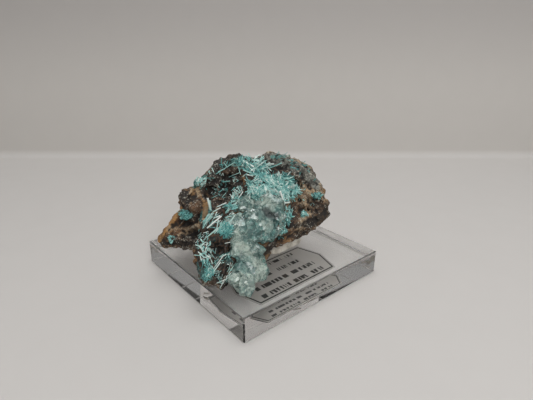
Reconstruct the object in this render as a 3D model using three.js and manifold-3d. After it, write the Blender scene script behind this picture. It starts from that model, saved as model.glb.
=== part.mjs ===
// A small mineral specimen on a clear display base: aurichalcite needles and clear hemimorphite
// crystals on a rough limonite stone, held by a dab of putty on a square acrylic slab that has
// a paper label under it. Millimetres, +Z up, origin at the middle of the slab's underside.

import * as THREE from "three";
import { mergeVertices } from "three/addons/utils/BufferGeometryUtils.js";
import Module from "manifold-3d";

const wasm = await Module();
wasm.setup();

// The display base: a slab an inch and three quarters square and a quarter inch thick.
const SLAB_SIDE = 44.45;
const SLAB_THICKNESS = 6.35;
const SLAB_CORNER = 0.2; // cut across each upright corner
const SLAB_EDGE = 0.15; // polished bevel round the top and the bottom

// The label is a six-sided plate of paper whose short ends are pointed, let in flush underneath.
const LABEL_LENGTH = 24.9;
const LABEL_WIDTH = 14.3;
const LABEL_POINT = 2.1; // how far each pointed end stands out
const LABEL_THICKNESS = 0.1;
const LABEL_GAP = 0.05;
const LABEL_PLACE = [-1.6, -10.65];

// The specimen's display face is turned towards one corner of the slab and leans back from it.
// In the face's own frame x is to its right, y is up it and z, the depth, stands out of it.
const FACE_TURN = -39.8;
const FACE_LEAN = 67;
const FACE_CENTRE = [-3, -5, 19.1];
const GAP = 0.35; // between a crystal, the needles, the stone they grew on and the putty
const CORNER_GAP = 0.5; // the same for a crystal, whose faces move out less than its corners
const SLIVER = 0.05; // detail smaller than this is smoothed away after cutting

// The stone's outline as its display face is seen, anticlockwise from the right-hand point.
const OUTLINE = [
  [22.5, -2.5], [21.5, 1.5], [20.5, 5.5], [18.5, 9], [16.8, 12], [13.8, 14.2], [10, 16.1], [6.2, 17.1],
  [3.8, 14.8], [0.4, 13.7], [-4, 14], [-6.7, 12.7], [-9.3, 10.6], [-11.7, 8.9], [-14.6, 5.8],
  [-17.6, 4.4], [-17.2, 2.4], [-16.6, 0.6], [-19.4, -2.4], [-22.3, -5.6], [-24.9, -8.1],
  [-24.6, -9.7], [-17.4, -9.4], [-14, -9.3], [-11.6, -11], [-9.7, -15.5], [-8, -17.2],
  [-5, -16.8], [-2.8, -15.6], [0.5, -14.8], [2.5, -13.4], [4.4, -11.8], [5.4, -10.4],
  [6.2, -8.9], [10.2, -8.7], [12.9, -7.7], [15.6, -5.8], [18.8, -4.6],
];

// Depth of the display face and of the back: [x, y, front, back].
const DEPTHS = [
  [-2.5, -15.5, 14, 11], [-8, -14.5, 13, 8], [-8, -9.5, 11, 0], [-8, -4, 8.5, -8], [0, -8, 10, -4],
  [1, -3, 8, -10], [7, -5, 4.5, -10], [-7, 4, 2.5, -11], [2.5, 3.5, 3.5, -12], [-3, 12, 0, -9],
  [8, 12, -3.5, -14], [14, 5, -2.5, -15], [17, 0, -4, -14], [12, -4, 0.5, -12], [-13, -2, 3.5, -10],
  [-17.5, -4.5, 0.5, -10.5], [-22.5, -7.5, -2.5, -9], [-12, 4.5, 0.5, -12], [3.5, -11, 8, 2],
];
const DEPTH_SOFTNESS = 2; // distance over which neighbouring depths run together
const RIM_SHARE = 0.7; // where the rim lies between the back, 0, and the front, 1

// Hollows and knobs of the display face: [x, y, radius, height].
const RELIEF = [
  [-7.5, 5, 4.5, -2.4], [-6.4, -9.2, 2.4, -2.8], [-12.7, 0.8, 1.9, 1.8], [-10.4, 1.2, 1.2, 1.2],
  [-14.5, -3.8, 1.7, -1.8], [7, 3.3, 1.4, -1.6], [10.7, 11.2, 5, 1.8], [13.5, 6.5, 2.2, -1.4],
  [15.5, 1.5, 2.2, 1.2], [10.5, -1.5, 1.8, -1.2], [-4, 11.5, 3, 1.3], [-12.3, -11.2, 1.2, 1.5],
  [-16.8, 3.3, 1.8, 1.6], [-9.5, 9, 2.2, 1.1], [-18.6, -7, 2, 0.9], [3.5, 9.5, 3, -0.9],
  [9.5, -7.6, 2.1, -3.4], [13.6, -5.3, 1.9, -2.6], [6, -9.6, 1.3, -2.2], [-15.4, -8.4, 1.8, -1.6],
];

// Round nodules that stand out of the face: [x, y, radius, depth of the middle under the face].
const NODULES = [[-12.4, 0.8, 1.6, 0.4], [-10.9, -11.6, 0.8, 0.1]];

// Pits broken into bare stone: [x, y, across, up].
const PITS = [
  [-9.6, 5.4, 1.5, 0.9], [-5.4, 6.4, 1.3, 0.8], [-7.6, 2.2, 1.6, 0.7], [13.4, 2.8, 1.1, 0.8],
  [15.8, 0.4, 0.9, 1], [13.2, 9.4, 1.3, 0.7], [-15.9, -5.6, 1.2, 0.6], [17.4, -2.2, 1, 0.6],
];

// Broken faces of the back and sides: outward normal and distance from the face's centre.
const FRACTURES = [
  [[0.15, 0.35, -0.92], 12.5], [[0.62, 0.1, -0.78], 18.5], [[-0.45, 0.3, -0.84], 12.5],
  [[0.85, -0.25, -0.46], 21], [[-0.2, 0.8, -0.56], 14], [[0.3, 0.85, -0.43], 17],
  [[0.1, -0.45, -0.89], 12], [[0.5, -0.62, -0.6], 14.5], [[-0.8, 0.42, -0.43], 17.5],
];
const FRACTURE_FLATNESS = 0.85;
const SEAT_HEIGHT = 7.3; // the lowest level of stone and crystals, above the slab

const STONE_DETAIL = 10;
const STONE_LUMPS = [[0.15, 1.2], [0.3, 0.9], [0.52, 0.5]]; // [waves per mm, height]

// The needle crust: patches [x, y, across, up, thickness, blades] that run together on the face.
const CRUST = [
  [3, 9, 6.5, 5.5, 1.0, 6], [8.5, 6.5, 6, 4.5, 1.0, 5], [3, 3, 6.5, 4, 1.0, 5], [-7, -3, 5.5, 5, 1.1, 6],
  [-8.5, -10, 3.6, 6.5, 1.1, 5], [-4.8, -11, 3.2, 5.5, 0.9, 2], [-3, -0.5, 5, 3.5, 1.0, 3],
  [8.5, -1.5, 3, 4, 0.9, 2],
];
const BLADE_LENGTH = [2.4, 4.6];
const BLADE_WIDTH = [0.5, 0.85];

// Small separate patches of needles on bare limonite: [name, x, y, across, up].
const PATCHES = [
  ["aurichalcite_patch_arm", -14.6, -1.3, 2.5, 1.8], ["aurichalcite_patch_tip", -18.7, -7.1, 1.5, 1.2],
  ["aurichalcite_patch_right", 14.3, -1.4, 2.4, 1.7], ["aurichalcite_patch_edge", 17.5, 3.8, 1.7, 1.3],
  ["aurichalcite_patch_shoulder", -11.6, 6.8, 2.5, 1.6],
];
const PATCH_THICKNESS = 1.2;
const PATCH_BLADES = 5;

// Lobes of the clear cluster, from the top one to the tip: [x, y, across, up, height].
const LOBES = [
  [-0.9, 0, 2.6, 2.3, 2.7], [3.4, 0.6, 3, 2.8, 2.3], [6.6, -0.9, 2.7, 2.8, 2], [2, -2.2, 3, 2.5, 2.3],
  [-2, -3.6, 2.9, 3, 1.9], [1.4, -5, 3.3, 3.1, 2.3], [4.8, -5, 3, 3.1, 2.1],
  [-1.4, -7.6, 2.5, 2.7, 2], [0.6, -8.6, 2.1, 2.6, 2.2], [2.1, -11.9, 1.7, 2.6, 2.3],
  [-0.7, -11.2, 2.9, 2.8, 2.3], [0.7, -13.9, 2.7, 3.1, 2.3], [-1.2, -14.2, 2.6, 2.5, 2.3],
  [0.1, -16, 3.1, 2.1, 1.8],
];
const CRYSTALS_PER_LOBE = 3; // one broad crystal and smaller ones leaning out of it

// The putty's footprint on the slab, and how high it would stand with no stone on it.
const PUTTY_PLACE = [4.8, 0.8];
const PUTTY_SIZE = [9.2, 7.4];
const PUTTY_HEIGHT = 4.2;

const MATERIALS = {
  acrylic: new THREE.MeshStandardMaterial({
    color: 0xf2f4f4,
    roughness: 0.04,
    transparent: true,
    opacity: 0.3,
  }),
  paper: new THREE.MeshStandardMaterial({ color: 0xb9b4ac, roughness: 0.8 }),
  putty: new THREE.MeshStandardMaterial({ color: 0xd9d3c6, roughness: 0.7 }),
  stone: new THREE.MeshStandardMaterial({ color: 0x4c3d30, roughness: 0.9 }),
  needles: new THREE.MeshStandardMaterial({ color: 0x79b8b0, roughness: 0.4 }),
  crystal: new THREE.MeshStandardMaterial({
    color: 0xa9cdc4,
    roughness: 0.2,
    transparent: true,
    opacity: 0.7,
  }),
};

// A random number generator that always gives the same row of numbers.
function randomRow(seed) {
  let state = seed;
  return () => {
    state = (Math.imul(state, 1664525) + 1013904223) >>> 0;
    return state / 4294967296;
  };
}

function between([low, high], share) {
  return low + (high - low) * share;
}

// A fixed pseudo-random value from -1 to 1 for each point of the whole-number grid.
function gridValue(x, y, z) {
  let h = Math.imul(x, 374761393) ^ Math.imul(y, 668265263) ^ Math.imul(z, 2147483647);
  h = Math.imul(h ^ (h >>> 13), 1274126177);
  return ((h ^ (h >>> 16)) >>> 0) / 2147483648 - 1;
}

// Smooth lumps: the grid's values blended between the eight neighbours of a point.
function lump(x, y, z) {
  const cell = [x, y, z].map(Math.floor);
  const ease = [x, y, z].map((v, i) => {
    const t = v - cell[i];
    return t * t * (3 - 2 * t);
  });
  let sum = 0;
  for (let corner = 0; corner < 8; corner += 1) {
    const step = [corner & 1, (corner >> 1) & 1, (corner >> 2) & 1];
    const weight = step.reduce((w, s, i) => w * (s ? ease[i] : 1 - ease[i]), 1);
    sum += weight * gridValue(cell[0] + step[0], cell[1] + step[1], cell[2] + step[2]);
  }
  return sum;
}

// The outline's distance from the face's centre in a given direction.
const RIM = OUTLINE.map(([x, y]) => ({ angle: Math.atan2(y, x), radius: Math.hypot(x, y) })).sort(
  (a, b) => a.angle - b.angle,
);
function rimRadius(angle) {
  let next = RIM.findIndex((p) => p.angle > angle);
  if (next < 0) next = 0;
  const before = RIM[(next + RIM.length - 1) % RIM.length];
  const after = RIM[next];
  const turn = 2 * Math.PI;
  const span = (after.angle - before.angle + turn) % turn;
  const share = ((angle - before.angle + turn) % turn) / span;
  return before.radius + (after.radius - before.radius) * share;
}

// Front and back depth at a place of the face, blended from the given depths by nearness.
function depthsAt(x, y) {
  let total = 0;
  let front = 0;
  let back = 0;
  for (const [px, py, pf, pb] of DEPTHS) {
    const near = (x - px) ** 2 + (y - py) ** 2 + DEPTH_SOFTNESS ** 2;
    const weight = 1 / near ** 2;
    total += weight;
    front += weight * pf;
    back += weight * pb;
  }
  front /= total;
  back /= total;
  for (const [px, py, radius, height] of RELIEF) {
    front += height * Math.exp(-((x - px) ** 2 + (y - py) ** 2) / radius ** 2);
  }
  return { front, back };
}

const LEAN = THREE.MathUtils.degToRad(FACE_LEAN);
const UP_IN_FACE = new THREE.Vector3(0, Math.sin(LEAN), Math.cos(LEAN));
const SEAT_DISTANCE = FACE_CENTRE[2] - SEAT_HEIGHT;

// Keeps a point on the inner side of a plane, with a little of its own relief left.
function pressedFlat(point, normal, distance, flatness) {
  const over = point.dot(normal) - distance;
  if (over > 0) point.addScaledVector(normal, -over * flatness);
}

// The stone's surface in a direction from its centre. lift(x, y) raises the display face alone.
function stonePoint(direction, lift = null) {
  const angle = Math.atan2(direction.y, direction.x);
  const spread = Math.min(1, Math.hypot(direction.x, direction.y));
  const radius = rimRadius(angle) * spread;
  const point = new THREE.Vector3(radius * Math.cos(angle), radius * Math.sin(angle), 0);
  const { front, back } = depthsAt(point.x, point.y);
  const rim = back + (front - back) * RIM_SHARE;
  const dome = Math.sqrt(1 - spread ** 4);
  point.z = direction.z > 0 ? rim + (front - rim) * dome : rim + (back - rim) * dome;
  const outward = new THREE.Vector3(
    Math.cos(angle) * spread ** 3,
    Math.sin(angle) * spread ** 3,
    Math.sign(direction.z) * dome,
  ).normalize();
  for (const [waves, height] of STONE_LUMPS) {
    const inward = 1 - 0.6 * spread ** 6; // the rim keeps nearer to its outline
    const crease = 0.6 - 2 * Math.abs(lump(point.x * waves, point.y * waves, point.z * waves));
    point.addScaledVector(outward, height * inward * crease);
  }
  for (const [normal, distance] of FRACTURES) {
    pressedFlat(point, new THREE.Vector3(...normal).normalize(), distance, FRACTURE_FLATNESS);
  }
  if (lift && direction.z > 0) point.z += lift(point.x, point.y);
  pressedFlat(point, UP_IN_FACE.clone().negate(), SEAT_DISTANCE, 1);
  return point;
}

// A ball of even triangles whose points are moved to where place(direction) says.
function shapedBall(detail, place) {
  const geometry = new THREE.IcosahedronGeometry(1, detail);
  const points = geometry.attributes.position;
  const direction = new THREE.Vector3();
  for (let i = 0; i < points.count; i += 1) {
    const moved = place(direction.fromBufferAttribute(points, i).normalize());
    points.setXYZ(i, moved.x, moved.y, moved.z);
  }
  return geometry;
}

// A closed geometry as a solid, placed by a matrix. grow moves its surface outwards.
function solidOf(geometry, matrix = new THREE.Matrix4(), grow = 0) {
  const bare = new THREE.BufferGeometry();
  bare.setAttribute("position", geometry.attributes.position.clone());
  if (geometry.index) bare.setIndex(geometry.index.clone());
  bare.applyMatrix4(matrix);
  const merged = mergeVertices(bare, 1e-4);
  if (grow > 0) {
    merged.computeVertexNormals();
    const points = merged.attributes.position;
    const normals = merged.attributes.normal;
    for (let i = 0; i < points.count; i += 1) {
      const moved = new THREE.Vector3().fromBufferAttribute(points, i);
      moved.addScaledVector(new THREE.Vector3().fromBufferAttribute(normals, i), grow);
      points.setXYZ(i, moved.x, moved.y, moved.z);
    }
  }
  return new wasm.Manifold(
    new wasm.Mesh({
      numProp: 3,
      vertProperties: merged.attributes.position.array,
      triVerts: new Uint32Array(merged.index.array),
    }),
  );
}

// The largest connected piece of a solid, without the slivers that cutting left on it, so that
// no crumb is left loose beside it.
function largestPiece(solid) {
  return solid
    .simplify(SLIVER)
    .decompose()
    .reduce((best, piece) => (piece.volume() > best.volume() ? piece : best));
}

function meshOf(name, solid, material) {
  const data = solid.getMesh();
  const geometry = new THREE.BufferGeometry();
  geometry.setAttribute("position", new THREE.BufferAttribute(new Float32Array(data.vertProperties), 3));
  geometry.setIndex(new THREE.BufferAttribute(new Uint32Array(data.triVerts), 1));
  geometry.computeVertexNormals();
  const mesh = new THREE.Mesh(geometry, material);
  mesh.name = name;
  return mesh;
}

// The display base

function labelOutline(margin) {
  const half = LABEL_LENGTH / 2 + margin;
  const side = LABEL_WIDTH / 2 + margin;
  return new THREE.Shape([
    new THREE.Vector2(-half, -side),
    new THREE.Vector2(half, -side),
    new THREE.Vector2(half + LABEL_POINT, 0),
    new THREE.Vector2(half, side),
    new THREE.Vector2(-half, side),
    new THREE.Vector2(-half - LABEL_POINT, 0),
  ]);
}

function labelSolid(margin, bottom, top) {
  const settings = { depth: top - bottom, bevelEnabled: false };
  const plate = new THREE.ExtrudeGeometry(labelOutline(margin), settings);
  return solidOf(plate, new THREE.Matrix4().makeTranslation(...LABEL_PLACE, bottom));
}

function slabSolid() {
  const half = SLAB_SIDE / 2 - SLAB_EDGE;
  const cut = half - SLAB_CORNER;
  const corners = [
    [-cut, -half], [cut, -half], [half, -cut], [half, cut],
    [cut, half], [-cut, half], [-half, cut], [-half, -cut],
  ];
  const outline = new THREE.Shape(corners.map(([x, y]) => new THREE.Vector2(x, y)));
  const block = new THREE.ExtrudeGeometry(outline, {
    depth: SLAB_THICKNESS - 2 * SLAB_EDGE,
    bevelEnabled: true,
    bevelSegments: 1,
    bevelSize: SLAB_EDGE,
    bevelThickness: SLAB_EDGE,
  });
  const slab = solidOf(block, new THREE.Matrix4().makeTranslation(0, 0, SLAB_EDGE));
  return slab.subtract(labelSolid(LABEL_GAP, -1, LABEL_THICKNESS));
}

// A dab of putty pressed flat on the slab: a low dome whose underside lies in the slab's top.
function puttyDome() {
  return solidOf(shapedBall(4, (direction) => {
    const wobble = 1 + 0.14 * lump(direction.x * 2 + 5, direction.y * 2, direction.z * 2);
    return new THREE.Vector3(
      PUTTY_PLACE[0] + PUTTY_SIZE[0] * direction.x * wobble,
      PUTTY_PLACE[1] + PUTTY_SIZE[1] * direction.y * wobble,
      SLAB_THICKNESS + Math.max(0, PUTTY_HEIGHT * Math.sqrt(Math.max(0, direction.z)) * wobble),
    );
  }));
}

// The stone and what grew on it, all in the face's frame

function stoneSolid(grow) {
  const nodules = NODULES.map(([x, y, radius, sunk]) => {
    const place = faceAt(x, y);
    place.z -= sunk;
    return solidOf(new THREE.IcosahedronGeometry(radius, 2), new THREE.Matrix4().setPosition(place), grow);
  });
  const ball = shapedBall(STONE_DETAIL, (direction) => stonePoint(direction));
  return wasm.Manifold.union([solidOf(ball, new THREE.Matrix4(), grow), ...nodules]);
}

// The pits, as lumpy hollows lying along the face.
function pitSolid() {
  const pits = PITS.map(([x, y, across, up]) => {
    const hollow = shapedBall(1, (direction) => {
      const wobble = 1 + 0.3 * lump(direction.x * 2 + x, direction.y * 2 + y, direction.z * 2);
      return new THREE.Vector3(direction.x * across, direction.y * up, direction.z).multiplyScalar(wobble);
    });
    return solidOf(hollow, new THREE.Matrix4().setPosition(faceAt(x, y)));
  });
  return wasm.Manifold.union(pits);
}

// How strongly a place lies in a patch: 1 in its middle, 0 at its edge and beyond.
function inPatch(x, y, [px, py, across, up]) {
  const away = ((x - px) / across) ** 2 + ((y - py) / up) ** 2;
  return Math.max(0, 1 - away);
}

const CRUST_SINK = 1.2; // how deep the crust's surface dives under bare stone
function crustLift(x, y) {
  const ragged = 0.35 * lump(x * 0.55, y * 0.55, 3.5);
  const cover = CRUST.map((patch) => patch[4] * Math.sqrt(inPatch(x, y, patch)));
  return Math.max(...cover) * 1.45 + ragged - 0.35 - (Math.max(...cover) > 0 ? 0 : CRUST_SINK);
}

function crustSolid() {
  return solidOf(shapedBall(STONE_DETAIL, (direction) => stonePoint(direction, crustLift)));
}

// The display face's surface at a place, found by its direction from the centre.
function faceAt(x, y) {
  const spread = Math.min(0.999, Math.hypot(x, y) / rimRadius(Math.atan2(y, x)));
  const angle = Math.atan2(y, x);
  const rise = Math.sqrt(1 - spread ** 2);
  return stonePoint(new THREE.Vector3(spread * Math.cos(angle), spread * Math.sin(angle), rise));
}

// The direction that the display face looks in at a place.
function faceNormal(x, y) {
  const across = faceAt(x + 0.5, y).sub(faceAt(x - 0.5, y));
  return across.cross(faceAt(x, y + 0.5).sub(faceAt(x, y - 0.5))).normalize();
}

// A transform that stands a shape's +Z along a direction, at a place.
function standing(place, direction, turn = 0) {
  const up = new THREE.Vector3(0, 0, 1);
  const aim = new THREE.Quaternion().setFromUnitVectors(up, direction.clone().normalize());
  const spin = new THREE.Quaternion().setFromAxisAngle(up, turn);
  return new THREE.Matrix4().compose(place, aim.multiply(spin), new THREE.Vector3(1, 1, 1));
}

// One flat four-sided blade, its root at the origin and its tip up +Z.
function bladeGeometry(width, length) {
  const blade = new THREE.CylinderGeometry(width * 0.28, width * 0.5, length, 4, 1);
  blade.rotateX(Math.PI / 2);
  blade.scale(1, 0.55, 1);
  return blade.translate(0, 0, length / 2);
}

// A blade rooted somewhere in a patch and leaning out of it at a low angle.
function bladeOn([px, py, across, up], size, random) {
  const angle = random() * 2 * Math.PI;
  const away = Math.sqrt(random()) * 0.7;
  const x = px + across * away * Math.cos(angle);
  const y = py + up * away * Math.sin(angle);
  const lean = new THREE.Vector3(random() * 2 - 1, random() * 2 - 1, 0);
  lean.addScaledVector(faceNormal(x, y), 0.2 + random() * 0.55);
  const width = size * between(BLADE_WIDTH, random());
  const blade = bladeGeometry(width, size * between(BLADE_LENGTH, random()));
  const root = faceAt(x, y).addScaledVector(faceNormal(x, y), 0.5);
  return solidOf(blade, standing(root, lean, random() * Math.PI));
}

function crustBlades(random) {
  return CRUST.flatMap((patch) => Array.from({ length: patch[5] }, () => bladeOn(patch, 1, random)));
}

// A small cushion of needles: a low lump with blades standing out of it.
function patchSolid(patch, random) {
  const [x, y, across, up] = patch;
  const cushion = shapedBall(1, (direction) => {
    const wobble = 1 + 0.25 * lump(direction.x * 2 + x, direction.y * 2 + y, direction.z * 2);
    const size = new THREE.Vector3(across, up, PATCH_THICKNESS).multiplyScalar(wobble);
    return direction.clone().multiply(size);
  });
  const body = solidOf(cushion, standing(faceAt(x, y), faceNormal(x, y)));
  const blades = Array.from({ length: PATCH_BLADES }, () => bladeOn(patch, 0.45, random));
  return wasm.Manifold.union([body, ...blades]);
}

// One six-sided crystal with flat faces and a blunt point, its root at the origin.
function crystalGeometry(radius, length, flatness) {
  const profile = [[0, 0], [radius, 0], [radius * 0.9, length * 0.7], [radius * 0.45, length], [0, length]];
  const crystal = new THREE.LatheGeometry(profile.map(([r, h]) => new THREE.Vector2(r, h)), 6);
  crystal.rotateX(Math.PI / 2);
  return crystal.scale(1, flatness, 1);
}

// The clear cluster: in each lobe a broad crystal and smaller ones that lean out of it. Past the
// rim they overhang, at a depth that keeps them clear of the slab.
function clusterSolid(random, grow) {
  const crystals = [];
  for (const [x, y, across, up, height] of LOBES) {
    for (let i = 0; i < CRYSTALS_PER_LOBE; i += 1) {
      const angle = 2 * Math.PI * (random() + i / 2);
      const away = i === 0 ? 0 : 0.5;
      const size = i === 0 ? 1.08 : between([0.6, 0.8], random());
      const radius = (across + up) * 0.5 * size;
      const spot = [x + across * away * Math.cos(angle), y + up * away * Math.sin(angle)];
      const clear = (radius - SEAT_DISTANCE - spot[1] * UP_IN_FACE.y) / UP_IN_FACE.z;
      const place = new THREE.Vector3(...spot, Math.max(faceAt(...spot).z - 1, clear));
      const lean = new THREE.Vector3(away * Math.cos(angle), away * Math.sin(angle) - 0.1, 0);
      lean.addScaledVector(faceNormal(x, y), 0.9 + 0.3 * random());
      const crystal = crystalGeometry(radius, height + 1.6 * (1.3 - size), between([0.7, 1], random()));
      crystals.push(solidOf(crystal, standing(place, lean, random() * Math.PI), grow));
    }
  }
  return wasm.Manifold.union(crystals);
}

const whole = stoneSolid(0);
const grownStone = stoneSolid(GAP).add(whole);
const stone = largestPiece(whole.subtract(pitSolid()));
const cluster = largestPiece(clusterSolid(randomRow(11), 0).subtract(grownStone));
const grownCluster = clusterSolid(randomRow(11), CORNER_GAP);
const crust = largestPiece(
  wasm.Manifold.union([crustSolid(), ...crustBlades(randomRow(3))])
    .subtract(grownStone)
    .subtract(grownCluster),
);

const face = new THREE.Group();
face.position.set(...FACE_CENTRE);
face.rotation.x = LEAN;
face.add(meshOf("limonite_stone", stone, MATERIALS.stone));
face.add(meshOf("aurichalcite_crust", crust, MATERIALS.needles));
face.add(meshOf("hemimorphite_cluster", cluster, MATERIALS.crystal));
PATCHES.forEach(([name, ...patch], index) => {
  const cushion = patchSolid(patch, randomRow(21 + index)).subtract(grownStone);
  face.add(meshOf(name, largestPiece(cushion), MATERIALS.needles));
});

const specimen = new THREE.Group();
specimen.rotation.z = THREE.MathUtils.degToRad(FACE_TURN);
specimen.add(face);

const part = new THREE.Group();
part.add(specimen);
part.updateMatrixWorld(true);

const placedStone = grownStone.transform(face.matrixWorld.elements);
part.add(meshOf("acrylic_slab", slabSolid(), MATERIALS.acrylic));
part.add(meshOf("base_label", labelSolid(0, 0, LABEL_THICKNESS), MATERIALS.paper));
part.add(meshOf("mounting_putty", largestPiece(puttyDome().subtract(placedStone)), MATERIALS.putty));

export default part;
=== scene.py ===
"""Looks of an aurichalcite specimen on a clear acrylic display base.

Blender's lengths are metres. Sizes given as fields are millimetres unless they say otherwise.
Features of the display side are placed on the view grid: 533 units wide and 400 high, u to the
right and v down, as the camera sees the specimen. Each is carried straight back along the line of
sight to the surface it sits on.
"""

from __future__ import annotations

import logging
import math
from collections.abc import Callable
from dataclasses import dataclass, field
from enum import Enum

import bpy
import numpy as np
from mathutils import Matrix, Vector, noise
from mathutils.bvhtree import BVHTree

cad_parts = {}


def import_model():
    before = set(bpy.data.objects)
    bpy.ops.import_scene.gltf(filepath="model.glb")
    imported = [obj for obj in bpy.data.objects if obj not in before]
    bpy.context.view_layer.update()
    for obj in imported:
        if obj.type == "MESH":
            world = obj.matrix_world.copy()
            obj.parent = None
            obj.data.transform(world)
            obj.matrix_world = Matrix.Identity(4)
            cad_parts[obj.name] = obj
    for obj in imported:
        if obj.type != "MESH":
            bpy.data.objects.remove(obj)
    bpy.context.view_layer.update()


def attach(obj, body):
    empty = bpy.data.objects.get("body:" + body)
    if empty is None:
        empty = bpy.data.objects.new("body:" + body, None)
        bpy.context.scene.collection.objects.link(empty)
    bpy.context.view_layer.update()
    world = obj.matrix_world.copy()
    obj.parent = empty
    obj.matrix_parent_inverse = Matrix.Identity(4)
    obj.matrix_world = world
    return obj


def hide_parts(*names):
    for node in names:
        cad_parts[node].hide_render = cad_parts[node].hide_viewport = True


MM = 0.001
TINY = 1e-9
NEAR = 1e-6  # metres within which two places count as one
MIX_SHARE, MIX_FIRST, MIX_SECOND, MIX_RESULT = 0, 6, 7, 2  # a Mix node's sockets for colours
LOG = logging.getLogger("specimen")

Colour = tuple[float, float, float, float]
Place = tuple[float, float, float]
Span = tuple[float, float]


def linear(red: int, green: int, blue: int) -> Colour:
    """Turns a screen colour from 0 to 255 into the linear colour that shaders use."""
    channels = [c / 255 for c in (red, green, blue)]
    return (*[c / 12.92 if c <= 0.04045 else ((c + 0.055) / 1.055) ** 2.4 for c in channels], 1.0)


def units(rows: np.ndarray) -> np.ndarray:
    """Makes every row's vector one unit long."""
    return rows / np.linalg.norm(rows, axis=1, keepdims=True)


# The view grid


@dataclass(frozen=True)
class ViewGrid:
    """The camera's place and the grid that it lays over the specimen."""

    eye: Place = (-60.975, -76.027, 57.833)
    yaw: float = 39.78  # degrees to the right of +Y
    pitch: float = 21.28  # degrees down
    focal: float = 398.04  # in grid units
    width: int = 533
    height: int = 400

    def axes(self) -> tuple[np.ndarray, np.ndarray, np.ndarray]:
        """Works out the view's own axes.

        Returns:
            The directions to the right of the view, up it and ahead.
        """
        yaw, pitch = math.radians(self.yaw), math.radians(self.pitch)
        flat = math.cos(pitch)
        ahead = np.array([math.sin(yaw) * flat, math.cos(yaw) * flat, -math.sin(pitch)])
        right = np.array([math.cos(yaw), -math.sin(yaw), 0.0])
        return right, np.cross(right, ahead), ahead

    def project(self, points: np.ndarray) -> np.ndarray:
        """Finds where points fall on the grid.

        Args:
            points: One point a row, in metres.

        Returns:
            Their places on the grid, one a row.
        """
        right, up, ahead = self.axes()
        away = points / MM - np.array(self.eye)
        depth = away @ ahead
        u = self.width / 2 + self.focal * (away @ right) / depth
        v = self.height / 2 - self.focal * (away @ up) / depth
        return np.stack([u, v], axis=1)

    def sight(self, u: float, v: float) -> np.ndarray:
        """Finds the line of sight through a place on the grid.

        Args:
            u: How far right the place is.
            v: How far down it is.

        Returns:
            The line's direction.
        """
        right, up, ahead = self.axes()
        line = ahead + right * (u - self.width / 2) / self.focal + up * (self.height / 2 - v) / self.focal
        return line / np.linalg.norm(line)


VIEW = ViewGrid()


@dataclass(frozen=True)
class Stroke:
    """A soft-edged stroke on the view grid, or a soft spot where its ends meet."""

    u: float
    v: float
    end_u: float
    end_v: float
    width: float
    strength: float = 1.0

    def cover(self, places: np.ndarray) -> np.ndarray:
        """Works out how strongly the stroke covers places on the grid.

        Args:
            places: One place a row.

        Returns:
            A number from 0 to the stroke's strength for each place.
        """
        start = np.array([self.u, self.v])
        run = np.array([self.end_u, self.end_v]) - start
        length = max(float(run @ run), TINY)
        share = np.clip((places - start) @ run / length, 0, 1)[:, None]
        away = np.linalg.norm(places - start - share * run, axis=1)
        return self.strength * np.exp(-((away / self.width) ** 2))


def spot(u: float, v: float, width: float, strength: float = 1.0) -> Stroke:
    """A stroke without length."""
    return Stroke(u, v, u, v, width, strength)


def cover(strokes: tuple[Stroke, ...], places: np.ndarray) -> np.ndarray:
    """How strongly strokes together cover places on the view grid, from 0 to 1."""
    return np.clip(sum(stroke.cover(places) for stroke in strokes), 0, 1)


# Small gaps among the needles, kept bare and painted dark as shade
GAPS = tuple(
    spot(u, v, width)
    for u, v, width in (
        (262, 183, 2.0), (269.5, 179, 1.5), (258, 193, 1.8), (277, 187, 1.5), (286, 181, 1.6),
        (252, 200, 1.8), (266, 191, 1.4), (281, 174, 1.7), (262, 172, 1.5), (250, 173, 1.6),
        (291, 190, 1.5), (273, 174, 1.4), (244, 195, 1.6), (236, 204, 1.8), (284, 192, 1.3),
        (211, 236, 1.6), (222, 226, 1.5), (217, 219, 1.5), (206, 243, 1.6), (203, 266, 1.7),
        (210, 261, 1.6), (224, 236, 1.5), (286, 214, 1.5), (283, 227, 1.4),
    )
)


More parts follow.
